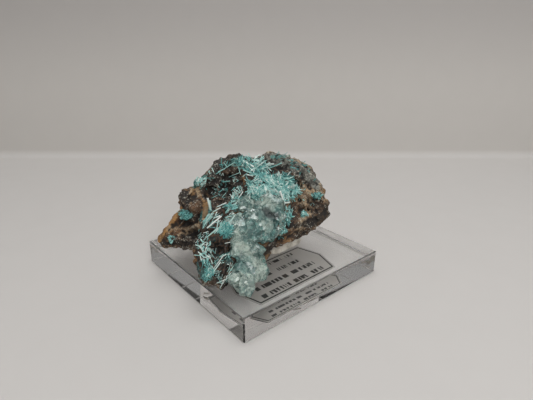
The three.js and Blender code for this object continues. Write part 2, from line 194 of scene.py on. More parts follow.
class Zone(Enum):
    """The parts of the stone that differ in colour, form or growth, with the painted shade among them, and
    where each lies.
    """

    OCHRE = (
        # On the knobs
        Stroke(199, 192, 202, 200, 3, 0.45), Stroke(194, 190, 190, 203, 3, 0.55),
        # On the arm
        Stroke(181, 208, 158, 241, 2.6, 0.9), spot(157, 240, 4, 0.8),
        Stroke(168, 234, 184, 222, 2.0, 0.35), Stroke(184, 234, 194, 230, 2, 0.45),
        Stroke(178, 214, 168, 230, 2.4, 0.4),
        # On the left field
        Stroke(243, 176, 245, 183, 3.4, 0.8), spot(236, 180, 5, 0.35), spot(226, 190, 3, 0.35),
        spot(219, 203, 3, 0.35),
        # On the slope under the left field
        Stroke(206, 204, 205, 216, 3.2, 1.5), spot(203, 220, 2.4, 0.5),
        # On the lower end
        Stroke(196, 236, 205, 246, 3, 0.5),
        # On the shoulder
        Stroke(262, 152, 275, 150, 2.4, 0.35), Stroke(275, 150, 312, 168, 2.0, 0.3),
        # On the right flank
        Stroke(303, 187, 319, 198, 4, 0.45), Stroke(322, 188, 328, 216, 2.2, 0.4),
        Stroke(295, 201, 311, 208, 3, 0.35),
        # On the low right side
        Stroke(270, 242, 286, 228, 1.6, 0.3),
    )
    GREY = (
        # On the left field
        Stroke(213, 168, 222, 161, 4, 0.6), Stroke(226, 163, 234, 172, 5, 0.4),
        # On the shoulder
        Stroke(270, 160, 296, 163, 8, 0.9), Stroke(298, 167, 318, 186, 7, 0.8),
        # On the right flank
        spot(312, 215, 8, 0.45), spot(302, 205, 6, 0.4),
    )
    # Near-black marks: black stone, with painted shade in the sunken pits, in the gaps among the needles
    # and under the arm and the low right side.
    BLACK = (
        # On the knobs
        Stroke(181, 193, 187, 199, 5.2, 1.4),
        # On the arm
        Stroke(184, 238, 196, 234, 3, 0.6), Stroke(158, 244, 178, 243, 2.6, 0.9),
        spot(188.5, 224, 2.4, 1.0), Stroke(199, 236, 206, 229, 1.6, 1.1),
        # On the left field
        Stroke(207, 188, 236, 196, 11, 0.8), Stroke(214, 177, 240, 184, 8, 0.7),
        Stroke(216, 163, 240, 157, 7, 0.8), Stroke(240, 172, 250, 178, 3.5, 0.8),
        # On the slope under the left field
        Stroke(208, 232, 223, 219, 2.0, 1.3), Stroke(203, 241, 214, 232, 2.0, 1.3),
        Stroke(199, 238, 226, 214, 8, 0.5), spot(222, 213, 4, 0.6),
        # On the lower end
        Stroke(216, 247, 231, 248, 4, 1.0), Stroke(214, 268, 228, 286, 9, 0.9),
        Stroke(219, 238, 228, 243, 2.5, 1.0), Stroke(207, 256, 211, 272, 3, 0.9),
        Stroke(205, 248, 212, 262, 5, 0.6), Stroke(196, 240, 204, 262, 5, 0.7),
        Stroke(238, 284, 226, 290, 6, 0.7),
        # On the main field
        spot(275.5, 197.5, 3.6, 1.1), Stroke(245, 180, 262, 184, 4, 1.1),
        Stroke(266, 158, 250, 162, 2.5, 0.6),
        # On the shoulder
        Stroke(269, 170, 285, 167, 3, 1.1),
        # On the right flank
        Stroke(290, 190, 300, 182, 4, 0.5), spot(293, 212, 3, 0.5), Stroke(327, 205, 330, 217, 4, 0.7),
        Stroke(310, 223, 327, 212, 5, 0.8),
        # On the low right side
        Stroke(262, 254, 272, 246, 5, 1.0), Stroke(296, 226, 322, 221, 4.5, 0.7),
        Stroke(272, 243, 290, 226, 3, 0.6),
        *GAPS,
    )
    TEAL = (
        # On the knobs
        Stroke(194, 186, 205, 177, 4, 1.0), spot(201, 188, 2.5, 0.8),
        # On the arm
        spot(186, 217.5, 4.2, 1.1), spot(173.5, 237, 3, 1.0), Stroke(187, 204, 187, 210, 2, 0.7),
        Stroke(183, 232, 190, 229, 2, 0.5),
        # On the left field
        Stroke(222, 168, 238, 160, 4, 0.8), spot(216, 186, 5, 0.3),
        # On the slope under the left field
        Stroke(210, 217, 226, 222, 8, 0.9),
        # On the lower end
        Stroke(204, 262, 210, 278, 6, 1.0),
        # On the main field
        Stroke(250, 170, 290, 190, 16, 1.0), Stroke(232, 205, 262, 196, 7, 1.0),
        # On the shoulder
        Stroke(272, 157, 290, 155, 3, 0.9), Stroke(296, 158, 316, 176, 4, 0.35),
        # On the right flank
        spot(303, 215, 4, 1.1), spot(316, 195, 3.4, 0.9), spot(313, 208, 2.4, 0.5),
        # On the low right side
        Stroke(280, 238, 290, 212, 3, 1.0), spot(290, 232, 2, 0.6),
    )
    TAN = (
        # On the knobs
        Stroke(192.5, 189, 183.5, 203, 1.3, 0.9), Stroke(197, 189, 199, 195, 2.2, 0.9),
        Stroke(200, 186, 207, 184, 1.6, 0.7),
        # On the arm
        Stroke(202, 219, 197.6, 225, 1.5, 1.0), Stroke(197.6, 225, 190, 229, 1.4, 1.0),
        Stroke(190, 229, 178, 235, 1.4, 0.8), Stroke(178, 214, 168, 230, 2.2, 0.35),
        Stroke(184, 236, 200, 228, 3, 0.5), Stroke(170, 229, 194, 227, 4, 0.5),
        # On the left field
        spot(243, 190, 6, 0.3),
        # On the shoulder
        Stroke(262, 152, 275, 150, 2.6, 0.6), Stroke(280, 151, 312, 168, 2.2, 0.5),
        # On the right flank
        Stroke(288, 206, 300, 196, 6, 0.4), Stroke(300, 224, 310, 214, 5, 0.5), spot(308, 202, 8, 0.6),
        Stroke(302, 186, 318, 194, 3.6, 0.8), Stroke(320, 184, 327, 204, 2.4, 0.6),
        # On the low right side
        Stroke(292, 234, 306, 226, 4, 0.45), Stroke(266, 252, 276, 243, 2.2, 0.5),
    )
    RUST = (
        # On the knobs
        spot(200, 200, 4, 0.6),
        # On the arm
        spot(194.5, 209, 5.4, 1.2), Stroke(168, 236, 186, 227, 5, 0.6), Stroke(176, 222, 182, 212, 4, 0.6),
        # On the left field
        Stroke(236, 186, 244, 178, 5, 0.5),
        # On the lower end
        spot(198.5, 258.5, 3.2, 1.6),
        # On the right flank
        Stroke(290, 196, 305, 205, 6, 0.5),
        # On the low right side
        Stroke(266, 249, 276, 239, 3, 0.6),
    )
    RAISED = (
        # On the knobs
        Stroke(192.5, 189, 183.5, 203, 1.5, 0.7), spot(184, 196, 4, 0.9),
        # On the arm
        Stroke(181, 208, 160, 240, 1.8, 0.5), Stroke(202, 219, 197.6, 225, 1.5, 0.8),
        Stroke(197.6, 225, 190, 229, 1.4, 0.8), Stroke(190, 229, 178, 235, 1.4, 0.7),
        spot(194.5, 208.5, 5, 0.9),
        # On the left field
        Stroke(216, 164, 222, 161, 4, 0.7), Stroke(232, 158, 238, 157, 4, 0.7),
        # On the slope under the left field
        Stroke(206, 206, 204.5, 215, 2.2, 0.8),
        # On the shoulder
        spot(268, 152, 3, 0.7),
        # On the right flank
        Stroke(312, 186, 320, 200, 3, 0.5),
        # On the low right side
        Stroke(266, 247, 286, 229, 1.8, 0.6),
    )
    SUNKEN = (
        # On the arm
        spot(188.5, 224, 3, 1.3), Stroke(184, 237, 197, 232, 3.4, 1.4),
        Stroke(172, 226, 180, 219, 2.4, 0.7),
        # On the left field
        Stroke(208, 196, 214, 190, 3.6, 1.2), Stroke(222, 188, 232, 192, 3.4, 1.2), spot(236, 198, 3, 1.1),
        Stroke(224, 178, 230, 176, 2.6, 1.0),
        # On the slope under the left field
        spot(222, 213, 3, 1.2),
        # On the lower end
        Stroke(216, 247, 231, 248, 3.6, 1.6), Stroke(226, 266, 220, 276, 3.4, 1.2),
        # On the main field
        spot(275.5, 197.5, 3.4, 1.5),
        # On the shoulder
        Stroke(269, 170, 285, 167, 2.8, 1.3),
        # On the right flank
        spot(293, 212, 3, 1.1), Stroke(292, 188, 297, 183, 2.6, 1.0), spot(316, 210, 2.6, 0.9),
        # On the low right side
        spot(304, 224, 3, 1.2), spot(279, 238, 3, 1.0), spot(288, 226, 2.4, 1.0),
    )
    BARE = (
        # On the slope under the left field
        Stroke(208, 232, 223, 219, 2.0, 0.9), Stroke(203, 241, 214, 232, 2.0, 0.9), spot(222, 213, 3, 0.9),
        # On the lower end
        Stroke(216, 247, 231, 248, 4.5, 1.5), Stroke(207, 256, 211, 270, 2, 0.7),
        Stroke(218, 264, 226, 284, 4.5, 0.8),
        # On the main field
        spot(276, 197.5, 4, 1.6), Stroke(246, 180, 260, 185, 3, 0.7),
        # On the shoulder
        Stroke(269, 170, 285, 167, 3.4, 1.3),
        *GAPS,
    )
    SMOOTH = (
        # On the knobs
        Stroke(194, 186, 205, 177, 4, 0.9),
        # On the arm
        spot(194.5, 209, 5.5, 0.8), Stroke(181, 208, 158, 241, 2.6, 0.5),
        # On the slope under the left field
        Stroke(206, 205, 204.5, 216, 3, 1.0),
        # On the lower end
        spot(198.5, 258.5, 3, 1.0),
    )

    def cover(self, places: np.ndarray) -> np.ndarray:
        """How strongly the zone covers places on the view grid, from 0 to 1."""
        return cover(self.value, places)


# Shader nodes


class Sock:
    """A value in a node tree that adds, multiplies and compares like a number."""

    def __init__(self, tree: NodeTree, socket: bpy.types.NodeSocket) -> None:
        """Wraps one output socket of a tree."""
        self.tree = tree
        self.socket = socket

    def _math(self, operation: str, *values: Sock | float) -> Sock:
        """Adds a Math node of the given operation on the given values."""
        return self.tree.add("ShaderNodeMath", {"operation": operation}, dict(enumerate(values)))

    def __add__(self, other: Sock | float) -> Sock:
        """The sum."""
        return self._math("ADD", self, other)

    __radd__ = __add__

    def __mul__(self, other: Sock | float) -> Sock:
        """The product."""
        return self._math("MULTIPLY", self, other)

    __rmul__ = __mul__

    def __sub__(self, other: Sock | float) -> Sock:
        """The difference."""
        return self._math("SUBTRACT", self, other)

    def __rsub__(self, other: Sock | float) -> Sock:
        """The difference with a number on the left."""
        return self._math("SUBTRACT", other, self)

    def __abs__(self) -> Sock:
        """The size without its sign."""
        return self._math("ABSOLUTE", self, 0.0)

    def largest(self, other: Sock | float) -> Sock:
        """The larger of two values."""
        return self._math("MAXIMUM", self, other)

    def smallest(self, other: Sock | float) -> Sock:
        """The smaller of two values."""
        return self._math("MINIMUM", self, other)

    def step(self, low: float, high: float) -> Sock:
        """A smooth step from 0 at low to 1 at high."""
        settings = {"interpolation_type": "SMOOTHSTEP"}
        return self.tree.add("ShaderNodeMapRange", settings, {0: self, 1: low, 2: high})

    def sibling(self, output: int | str) -> Sock:
        """Another output of the same node."""
        return Sock(self.tree, self.socket.node.outputs[output])


class NodeTree:
    """A node tree that is written from its inputs to its output."""

    def __init__(self, owner: bpy.types.Material | bpy.types.World) -> None:
        """Takes over the owner's tree and empties it.

        Args:
            owner: The material or the world that the tree belongs to.
        """
        owner.use_nodes = True
        self.owner = owner
        self.tree = owner.node_tree
        self.tree.nodes.clear()

    def add(
        self, kind: str, settings: dict[str, object], inputs: dict[int | str, object], output: int | str = 0
    ) -> Sock | None:
        """Adds a node.

        Args:
            kind: The node's type.
            settings: Properties to set before its sockets are used; "stops" fills a colour ramp.
            inputs: Values or sockets by input name or index.
            output: The output that is returned.

        Returns:
            The chosen output, or None for a node that has none.
        """
        node = self.tree.nodes.new(kind)
        for key, value in settings.items():
            if key == "stops":
                ramp = node.color_ramp
                while len(ramp.elements) < len(value):
                    ramp.elements.new(0.5)
                for element, (place, colour) in zip(ramp.elements, value):
                    element.position, element.color = place, colour
            else:
                setattr(node, key, value)
        for key, value in inputs.items():
            if isinstance(value, Sock):
                self.tree.links.new(value.socket, node.inputs[key])
            else:
                node.inputs[key].default_value = value
        return Sock(self, node.outputs[output]) if node.outputs else None

    def noise(self, at: Sock, size: float, detail: float = 4.0, rough: float = 0.55) -> Sock:
        """Cloudy noise from 0 to 1 whose lumps are about size millimetres across."""
        inputs = {"Vector": at, "Scale": 1 / size, "Detail": detail, "Roughness": rough}
        return self.add("ShaderNodeTexNoise", {}, inputs)

    def cells(self, at: Sock, size: float, output: str = "Distance", feature: str = "F1") -> Sock:
        """Cell noise whose cells are about size millimetres across."""
        inputs = {"Vector": at, "Scale": 1 / size}
        return self.add("ShaderNodeTexVoronoi", {"feature": feature}, inputs, output)

    def crumbs(self, at: Sock, size: float) -> Sock:
        """One random number for each cell, from 0 to 1."""
        return self.add("ShaderNodeSeparateColor", {}, {0: self.cells(at, size, "Color")})

    def stretch(self, at: Sock, scale: tuple[float, float, float]) -> Sock:
        """Scales a pattern differently along each axis."""
        return self.add("ShaderNodeMapping", {}, {"Vector": at, "Scale": scale})

    def mix(self, share: Sock | float, first: Sock | Colour, second: Sock | Colour) -> Sock:
        """Blends two colours by a share."""
        inputs = {MIX_SHARE: share, MIX_FIRST: first, MIX_SECOND: second}
        return self.add("ShaderNodeMix", {"data_type": "RGBA"}, inputs, MIX_RESULT)

    def layered(self, base: Sock | Colour, *coats: tuple[Sock | float, Sock | Colour]) -> Sock:
        """Lays coats of colour over a base.

        Args:
            base: The colour underneath.
            coats: The share and the colour of each coat, from the lowest up.

        Returns:
            The colour on top.
        """
        colour = base
        for share, tint in coats:
            colour = self.mix(share, colour, tint)
        return colour


class Shader(NodeTree):
    """A material that ends in one Principled surface."""

    def __init__(self, name: str) -> None:
        """Starts an empty material of the given name."""
        super().__init__(bpy.data.materials.new(name))

    def place(self) -> Sock:
        """Where a point is in the part, in millimetres."""
        return self.stretch(self.add("ShaderNodeTexCoord", {}, {}, "Object"), (1 / MM, 1 / MM, 1 / MM))

    def attribute(self, name: str, output: str = "Fac") -> Sock:
        """A value that the mesh carries."""
        return self.add("ShaderNodeAttribute", {"attribute_name": name}, {}, output)

    def parts(self, name: str) -> tuple[Sock, Sock, Sock, Sock]:
        """Takes a colour attribute of the mesh apart.

        Args:
            name: The attribute's name.

        Returns:
            Its four values.
        """
        colour = self.attribute(name, "Color")
        red = self.add("ShaderNodeSeparateColor", {}, {0: colour})
        return red, red.sibling(1), red.sibling(2), colour.sibling("Alpha")

    def bump(self, height: Sock, depth: float, strength: float = 1.0) -> Sock:
        """Turns a height from 0 to 1 into relief of the given depth in millimetres."""
        inputs = {"Height": height, "Distance": depth * MM, "Strength": strength}
        return self.add("ShaderNodeBump", {}, inputs, "Normal")

    @staticmethod
    def glow(weight: float, reach: Place) -> dict[str, object]:
        """Surface inputs for light that spreads under the surface, by its reach for each colour."""
        radius = tuple(r * MM for r in reach)
        return {"Subsurface Weight": weight, "Subsurface Radius": radius, "Subsurface Scale": 1.0}

    def finish(self, inputs: dict[str, object]) -> bpy.types.Material:
        """Ends the tree.

        Args:
            inputs: Values or sockets of the surface.

        Returns:
            The material.
        """
        surface = self.add("ShaderNodeBsdfPrincipled", {}, inputs)
        self.add("ShaderNodeOutputMaterial", {}, {"Surface": surface})
        return self.owner


# Finishes


@dataclass(frozen=True)
class LimoniteFinish:
    """Crumbly iron-stained stone, from ochre to near black, with teal stains near the needles, painted
    shade in its hollows and pale crumbs with painted glints.
    """

    deep: Colour = linear(34, 28, 24)
    brown: Colour = linear(88, 66, 50)
    earth: Colour = linear(124, 98, 74)
    rust: Colour = linear(106, 74, 46)
    ochre: Colour = linear(176, 132, 80)
    tan: Colour = linear(170, 146, 116)
    grey: Colour = linear(128, 130, 122)
    black: Colour = linear(27, 25, 23)
    teal: Colour = linear(92, 150, 144)
    glint: Colour = linear(176, 174, 160)
    patch_size: float = 7.0
    coarse_size: float = 3.4
    medium_size: float = 1.0
    fine_size: float = 0.34
    crumb_size: float = 0.6
    grain_size: float = 0.34
    dust_size: float = 0.2
    pit_depth: float = 0.16

    def material(self) -> bpy.types.Material:
        """Builds the material.

        Returns:
            The material.
        """
        s = Shader("limonite")
        at = s.place()
        patch = s.noise(at, self.patch_size, 3, 0.5)
        coarse = s.noise(at, self.coarse_size, 4, 0.6)
        medium = s.noise(at, self.medium_size, 5, 0.65)
        fine = s.noise(at, self.fine_size, 4, 0.7)
        crumb = s.crumbs(at, self.crumb_size)
        grain = s.crumbs(at, self.grain_size)
        dust = s.crumbs(at, self.dust_size)
        ochre, grey, black, teal = s.parts("zones")
        tan, rust, _, smooth = s.parts("marks")
        hollow = s.attribute("hollow")
        crumbly = 1 - smooth
        # Pale specks: pale crumbs with painted glints, fewer in the hollows.
        speck = (grain * 0.5 + dust * 0.5 - hollow * 0.4 + fine * 0.3 - patch * 0.5).step(0.5, 0.64)
        colour = s.layered(
            self.deep,
            ((medium + coarse * 0.6).step(0.6, 0.95), self.brown),
            ((crumb * 0.5 + medium).step(0.72, 1.0) * 0.75, self.earth),
            ((patch + medium * 0.5).step(0.76, 0.95) * 0.45, self.ochre),
            ((rust + coarse * 0.9 + fine * 0.3).step(0.78, 1.1) * 0.8, self.rust),
            ((grey + medium * 0.8 + crumb * 0.25).step(0.82, 1.15) * 0.85, self.grey),
            ((ochre * 0.9 + medium * 0.9 + grain * 0.2).step(0.82, 1.25) * 0.92, self.ochre),
            ((tan + fine * 0.5 + crumb * 0.2).step(0.62, 1.0) * 0.9, self.tan),
            ((black + medium * 0.6 - smooth * 0.4).step(0.72, 1.05) * 0.85, self.black),
            ((teal * 0.9 + medium * 0.5 + grain * 0.35).step(1.0, 1.35) * 0.9, self.teal),
            ((0.3 - dust).step(0.0, 0.12) * crumbly * 0.6, self.black),
            ((coarse - patch * 0.6).step(0.2, 0.32) * 0.5, self.deep),
            (speck * crumbly * 0.75, self.glint),
            # Painted shade: the hollows darken to near black.
            ((hollow + crumb * 0.3 * crumbly).step(0.62, 0.95) * 0.92, self.black),
        )
        relief = s.bump(fine * 0.5 + s.cells(at, self.fine_size) * 0.5, self.pit_depth, 0.9)
        return s.finish({"Base Color": colour, "Roughness": 0.62 + fine * 0.35, "Normal": relief})


@dataclass(frozen=True)
class FeltFinish:
    """The felted ground under the needles: teal, darkened as painted shade under the needles and in its
    hollows, with dark gaps where the stone shows.
    """

    # The deep base is darkened as painted shade under the needles.
    deep: Colour = linear(26, 54, 53)
    teal: Colour = linear(68, 124, 120)
    pale: Colour = linear(150, 192, 184)
    gap_and_shade: Colour = linear(20, 20, 18)
    rust: Colour = linear(84, 62, 44)
    ochre: Colour = linear(132, 100, 64)
    coarse_size: float = 2.4
    fine_size: float = 0.45
    crumb_size: float = 0.4
    fibre_size: float = 0.3
    fibre_depth: float = 0.16

    def material(self) -> bpy.types.Material:
        """Builds the material.

        Returns:
            The material.
        """
        s = Shader("aurichalcite_felt")
        at = s.place()
        coarse = s.noise(at, self.coarse_size, 4, 0.55)
        fine = s.noise(at, self.fine_size, 5, 0.65)
        crumb = s.crumbs(at, self.crumb_size)
        ochre, _, black, teal = s.parts("zones")
        hollow = s.attribute("hollow")
        ground = s.mix(fine.step(0.45, 0.6), self.gap_and_shade, self.rust)
        colour = s.layered(
            self.deep,
            ((fine + teal * 0.25).step(0.48, 0.72), self.teal),
            ((fine + crumb * 0.4 - hollow * 0.3).step(0.72, 0.95) * 0.7, self.pale),
            ((black - teal * 0.15 + coarse * 0.8 + fine * 0.5).step(0.7, 0.92), ground),
            ((ochre * 0.8 + fine * 0.7).step(0.75, 1.1) * 0.8, self.ochre),
            # Painted shade: the hollows darken to near black.
            ((hollow + crumb * 0.2).step(0.58, 0.78) * 0.95, self.gap_and_shade),
        )
        relief = s.bump(fine * 0.6 + s.cells(at, self.fibre_size) * 0.4, self.fibre_depth)
        return s.finish({"Base Color": colour, "Roughness": 0.5 + fine * 0.3, "Normal": relief})


@dataclass(frozen=True)
class NeedleFinish:
    """Silky needles, deep teal to nearly white."""

    deep: Colour = linear(36, 98, 98)
    teal: Colour = linear(98, 176, 172)
    pale: Colour = linear(180, 222, 214)
    white: Colour = linear(240, 246, 240)
    streak_size: float = 0.4
    streak_depth: float = 0.03

    def material(self) -> bpy.types.Material:
        """Builds the material.

        Returns:
            The material.
        """
        s = Shader("aurichalcite_needles")
        streak = s.noise(s.place(), self.streak_size, 3, 0.6)
        shade = s.attribute("tone") * 0.8 + s.attribute("along") * 0.2 + streak * 0.25
        stops = [(0.18, self.deep), (0.48, self.teal), (0.78, self.pale), (1.0, self.white)]
        colour = s.add("ShaderNodeValToRGB", {"stops": stops}, {0: shade})
        return s.finish(
            {
                "Base Color": colour,
                "Roughness": 0.28 + streak * 0.25,
                "Normal": s.bump(streak, self.streak_depth, 0.5),
                "Sheen Weight": 0.2,
                **s.glow(0.15, (0.3, 0.5, 0.5)),
            }
        )


@dataclass(frozen=True)
class CrystalFinish:
    """Cloudy glass: hemimorphite with pale veils, teal stains and one smoky crystal."""

    clear: Colour = linear(188, 216, 206)
    milky: Colour = linear(216, 230, 218)
    stained: Colour = linear(110, 172, 165)
    smoky: Colour = linear(84, 92, 92)
    deep: Colour = linear(76, 108, 106)
    clearness: float = 0.4
    light_bend: float = 1.61
    cloud_size: float = 1.6
    veil_size: float = 0.45
    veil_rise: float = 0.45
    crack_size: float = 0.8
    fleck_size: float = 0.26
    veil_depth: float = 0.06

    def material(self) -> bpy.types.Material:
        """Builds the material.

        Returns:
            The material.
        """
        s = Shader("hemimorphite")
        at = s.place()
        cloud = s.noise(at, self.cloud_size, 5, 0.62)
        veil = s.noise(s.stretch(at, (1.0, 1.0, self.veil_rise)), self.veil_size, 5, 0.75)
        crack = s.cells(at, self.crack_size, feature="F2")
        fleck = s.crumbs(at, self.fleck_size)
        smoke, stain, milk, _ = s.parts("tints")
        tone = s.attribute("tone")
        colour = s.layered(
            self.clear,
            ((cloud + veil * 0.5 + stain * 0.5).step(0.72, 1.05) * 0.8, self.stained),
            ((crack + veil * 0.8).step(0.85, 1.25) * 0.75, self.deep),
            ((veil + milk * 0.25 + fleck * 0.12).step(0.58, 0.74) * 0.85, self.milky),
            ((0.22 - fleck).step(0.0, 0.1) * 0.5, self.deep),
            ((tone + milk * 0.2).step(0.5, 1.1) * 0.55, self.milky),
            ((0.45 - tone).step(0.0, 0.5) * 0.6, self.deep),
            ((smoke + veil * 0.5).step(0.55, 1.15) * 0.9, self.smoky),
        )
        return s.finish(
            {
                "Base Color": colour,
                "Roughness": 0.05 + veil * 0.2,
                "Normal": s.bump(veil * 0.7 + crack * 0.3, self.veil_depth, 0.6),
                "IOR": self.light_bend,
                "Transmission Weight": self.clearness,
                **s.glow(0.08, (0.4, 0.6, 0.5)),
            }
        )


@dataclass(frozen=True)
class PuttyFinish:
    """Off-white mineral tack, a little grubby."""

    cream: Colour = linear(232, 226, 214)
    grubby: Colour = linear(188, 180, 164)
    smear_size: float = 2.4
    grain_size: float = 0.3
    smear_depth: float = 0.12

    def material(self) -> bpy.types.Material:
        """Builds the material.

        Returns:
            The material.
        """
        s = Shader("putty")
        at = s.place()
        smear = s.noise(at, self.smear_size, 5, 0.6)
        grain = s.noise(at, self.grain_size, 3, 0.6)
        colour = s.mix((smear * 0.8 + grain * 0.2).step(0.42, 0.66), self.cream, self.grubby)
        return s.finish(
            {
                "Base Color": colour,
                "Roughness": 0.5 + grain * 0.2,
                "Normal": s.bump(smear * 0.6 + grain * 0.4, self.smear_depth, 0.7),
                **s.glow(0.15, (1.2, 1.0, 0.7)),
            }
        )


@dataclass(frozen=True)
class AcrylicFinish:
    """Clear polished acrylic with faint polishing marks and matt bevels."""

    half_side: float = 22.225
    top: float = 6.35
    bevel: float = 0.22
    bevel_edge: float = 0.06
    clear: Colour = (0.998, 0.998, 0.996, 1.0)
    light_bend: float = 1.49
    mark_size: float = 0.6
    mark_stretch: Place = (0.15, 0.15, 3.0)
    mark_depth: float = 0.004

    def material(self) -> bpy.types.Material:
        """Builds the material.

        Returns:
            The material.
        """
        s = Shader("acrylic")
        at = s.place()
        marks = s.noise(s.stretch(at, self.mark_stretch), self.mark_size, 3, 0.6)
        across = s.add("ShaderNodeSeparateXYZ", {}, {0: at})
        side = (self.half_side - abs(across)).smallest(self.half_side - abs(across.sibling(1)))
        height = across.sibling(2)
        edge = side + height.smallest(self.top - height)
        matt = 1 - edge.step(self.bevel, self.bevel + self.bevel_edge)
        return s.finish(
            {
                "Base Color": self.clear,
                "Roughness": 0.01 + marks.step(0.45, 0.75) * 0.03 + matt * 0.5,
                "Normal": s.bump(marks, self.mark_depth, 0.4),
                "IOR": self.light_bend,
                "Transmission Weight": 1.0,
            }
        )


@dataclass(frozen=True)
class LabelSize:
    """The label's outline: a rectangle whose short ends are drawn out to a point."""

    centre: Span = (-1.6, -10.65)
    half_length: float = 12.45
    half_width: float = 7.15
    point: float = 2.1


@dataclass(frozen=True)
class LabelFinish:
    """Greyish paper with a printed border and rows of plain printed dashes."""

    size: LabelSize = LabelSize()
    inset: float = 0.35
    line: float = 0.42
    soft: float = 0.06  # how soft the border's edges are
    dash: float = 0.62
    blur: float = 0.08  # how soft the dashes' ends are
    paper: Colour = linear(196, 193, 188)
    aged: Colour = linear(182, 178, 170)
    ink: Colour = linear(24, 24, 26)
    # Each row's place across the slab, its half height and the ends of its words
    rows: tuple[tuple[float, float, tuple[Span, ...]], ...] = (
        (-15.8, 0.72, ((-12, -3.2), (-2.0, 3.0), (4.2, 8.4))),
        (-12.6, 0.72, ((-11.6, -1.0), (0.2, 8.2))),
        (-9.2, 0.66, ((-7.6, -3.4), (-2.2, 1.4), (2.4, 5.6))),
        (-5.6, 0.6, ((-1.4, 2.6), (4.2, 7.2))),
    )
    fibre_size: float = 0.25
    fibre_depth: float = 0.01
    stain_size: float = 5.0

    def material(self) -> bpy.types.Material:
        """Builds the material.

        Returns:
            The material.
        """
        s, size = Shader("label_paper"), self.size
        at = s.place()
        across = s.add("ShaderNodeSeparateXYZ", {}, {0: at})
        x = across - size.centre[0]
        y = across.sibling(1) - size.centre[1]
        end = size.half_length + size.point - abs(y) * (size.point / size.half_width) - abs(x)
        edge = end.smallest(size.half_width - abs(y))
        outer = self.inset + self.line
        ink = edge.step(self.inset, self.inset + self.soft) * (1 - edge.step(outer, outer + self.soft))
        stripes = s.noise(s.stretch(at, (1.0, 0.12, 1.0)), self.dash, 1, 0.4).step(0.42, 0.5)
        for row, height, words in self.rows:
            level = 1 - abs(y - (row - size.centre[1])).step(height - self.blur, height + self.blur)
            for left, right in words:
                middle, half = (left + right) / 2 - size.centre[0], (right - left) / 2
                word = 1 - abs(x - middle).step(half - self.blur, half + self.blur)
                ink = ink.largest(level * stripes * word)
        fibres = s.noise(at, self.fibre_size, 4, 0.7)
        stain = s.noise(at, self.stain_size, 3, 0.5).step(0.3, 0.7)
        colour = s.layered(self.paper, (stain * 0.35, self.aged), (ink * (0.85 + fibres * 0.15), self.ink))
        relief = s.bump(fibres, self.fibre_depth, 0.4)
        return s.finish({"Base Color": colour, "Roughness": 0.8, "Normal": relief})


@dataclass(frozen=True)
class BackdropFinish:
    """Matt pale paint of the table and the wall, with painted light on the table under the slab and painted
    shade high up the wall.
    """

    table: Colour = linear(203, 200, 197)
    wall: Colour = linear(207, 203, 198)
    # Painted shade: the wall darkens high up.
    high: Colour = linear(180, 176, 173)
    cloudy: Colour = linear(160, 156, 152)
    # Painted light: the table is paler under the slab.
    under: Colour = linear(232, 229, 226)  # makes up for the light lost inside the slab
    under_half: float = 21.5
    under_edge: float = 0.5
    wall_from: Span = (0.3, 4.0)  # heights between which the table's colour becomes the wall's
    high_from: Span = (30.0, 90.0)
    cloud_size: float = 9.0

    def material(self) -> bpy.types.Material:
        """Builds the material.

        Returns:
            The material.
        """
        s = Shader("backdrop")
        at = s.place()
        across = s.add("ShaderNodeSeparateXYZ", {}, {0: at})
        height = across.sibling(2)
        off = abs(across).largest(abs(across.sibling(1)))
        colour = s.layered(
            self.table,
            ((self.under_half - off).step(0.0, self.under_edge), self.under),
            (height.step(*self.wall_from), self.wall),
            (height.step(*self.high_from), self.high),
            (s.noise(at, self.cloud_size, 4, 0.5) * 0.08, self.cloudy),
        )
        return s.finish({"Base Color": colour, "Roughness": 0.85})


# Mesh work


def deselect() -> None:
    """Leaves nothing selected, in object mode."""
    if bpy.context.mode != "OBJECT":
        bpy.ops.object.mode_set(mode="OBJECT")
    bpy.ops.object.select_all(action="DESELECT")


def pick(obj: bpy.types.Object) -> None:
    """Makes one object the selected and active one.

    Args:
        obj: The object.
    """
    deselect()
    obj.select_set(True)
    bpy.context.view_layer.objects.active = obj


def select_where(obj: bpy.types.Object, chosen: Callable[[Vector], bool]) -> None:
    """Selects the vertices that pass a test, and the edges between them.

    Args:
        obj: The object.
        chosen: The test of a vertex's place.
    """
    for polygon in obj.data.polygons:
        polygon.select = False
    for vertex in obj.data.vertices:
        vertex.select = chosen(vertex.co)
    for edge in obj.data.edges:
        edge.select = all(obj.data.vertices[i].select for i in edge.vertices)


def apply_modifiers(obj: bpy.types.Object) -> None:
    """Applies all of an object's modifiers in order.

    Args:
        obj: The object.
    """
    pick(obj)
    for modifier in list(obj.modifiers):
        bpy.ops.object.modifier_apply(modifier=modifier.name)


def merged_copy(node: str, name: str) -> bpy.types.Object:
    """Copies a solid of the frame as a piece with shared vertices.

    Args:
        node: The solid's name.
        name: The new piece's name.

    Returns:
        The new object, which has no material yet.
    """
    mesh = bpy.data.objects[node].data.copy()
    mesh.materials.clear()
    obj = bpy.data.objects.new(name, mesh)
    bpy.context.collection.objects.link(obj)
    pick(obj)
    bpy.ops.object.mode_set(mode="EDIT")
    bpy.ops.mesh.select_all(action="SELECT")
    bpy.ops.mesh.remove_doubles(threshold=NEAR)
    bpy.ops.object.mode_set(mode="OBJECT")
    return obj


def remesh(obj: bpy.types.Object, voxel: float) -> None:
    """Gives a piece an even mesh.

    Args:
        obj: The piece.
        voxel: How many millimetres across its new faces are.
    """
    modifier = obj.modifiers.new("even", "REMESH")
    modifier.mode = "VOXEL"
    modifier.voxel_size = voxel * MM
    apply_modifiers(obj)


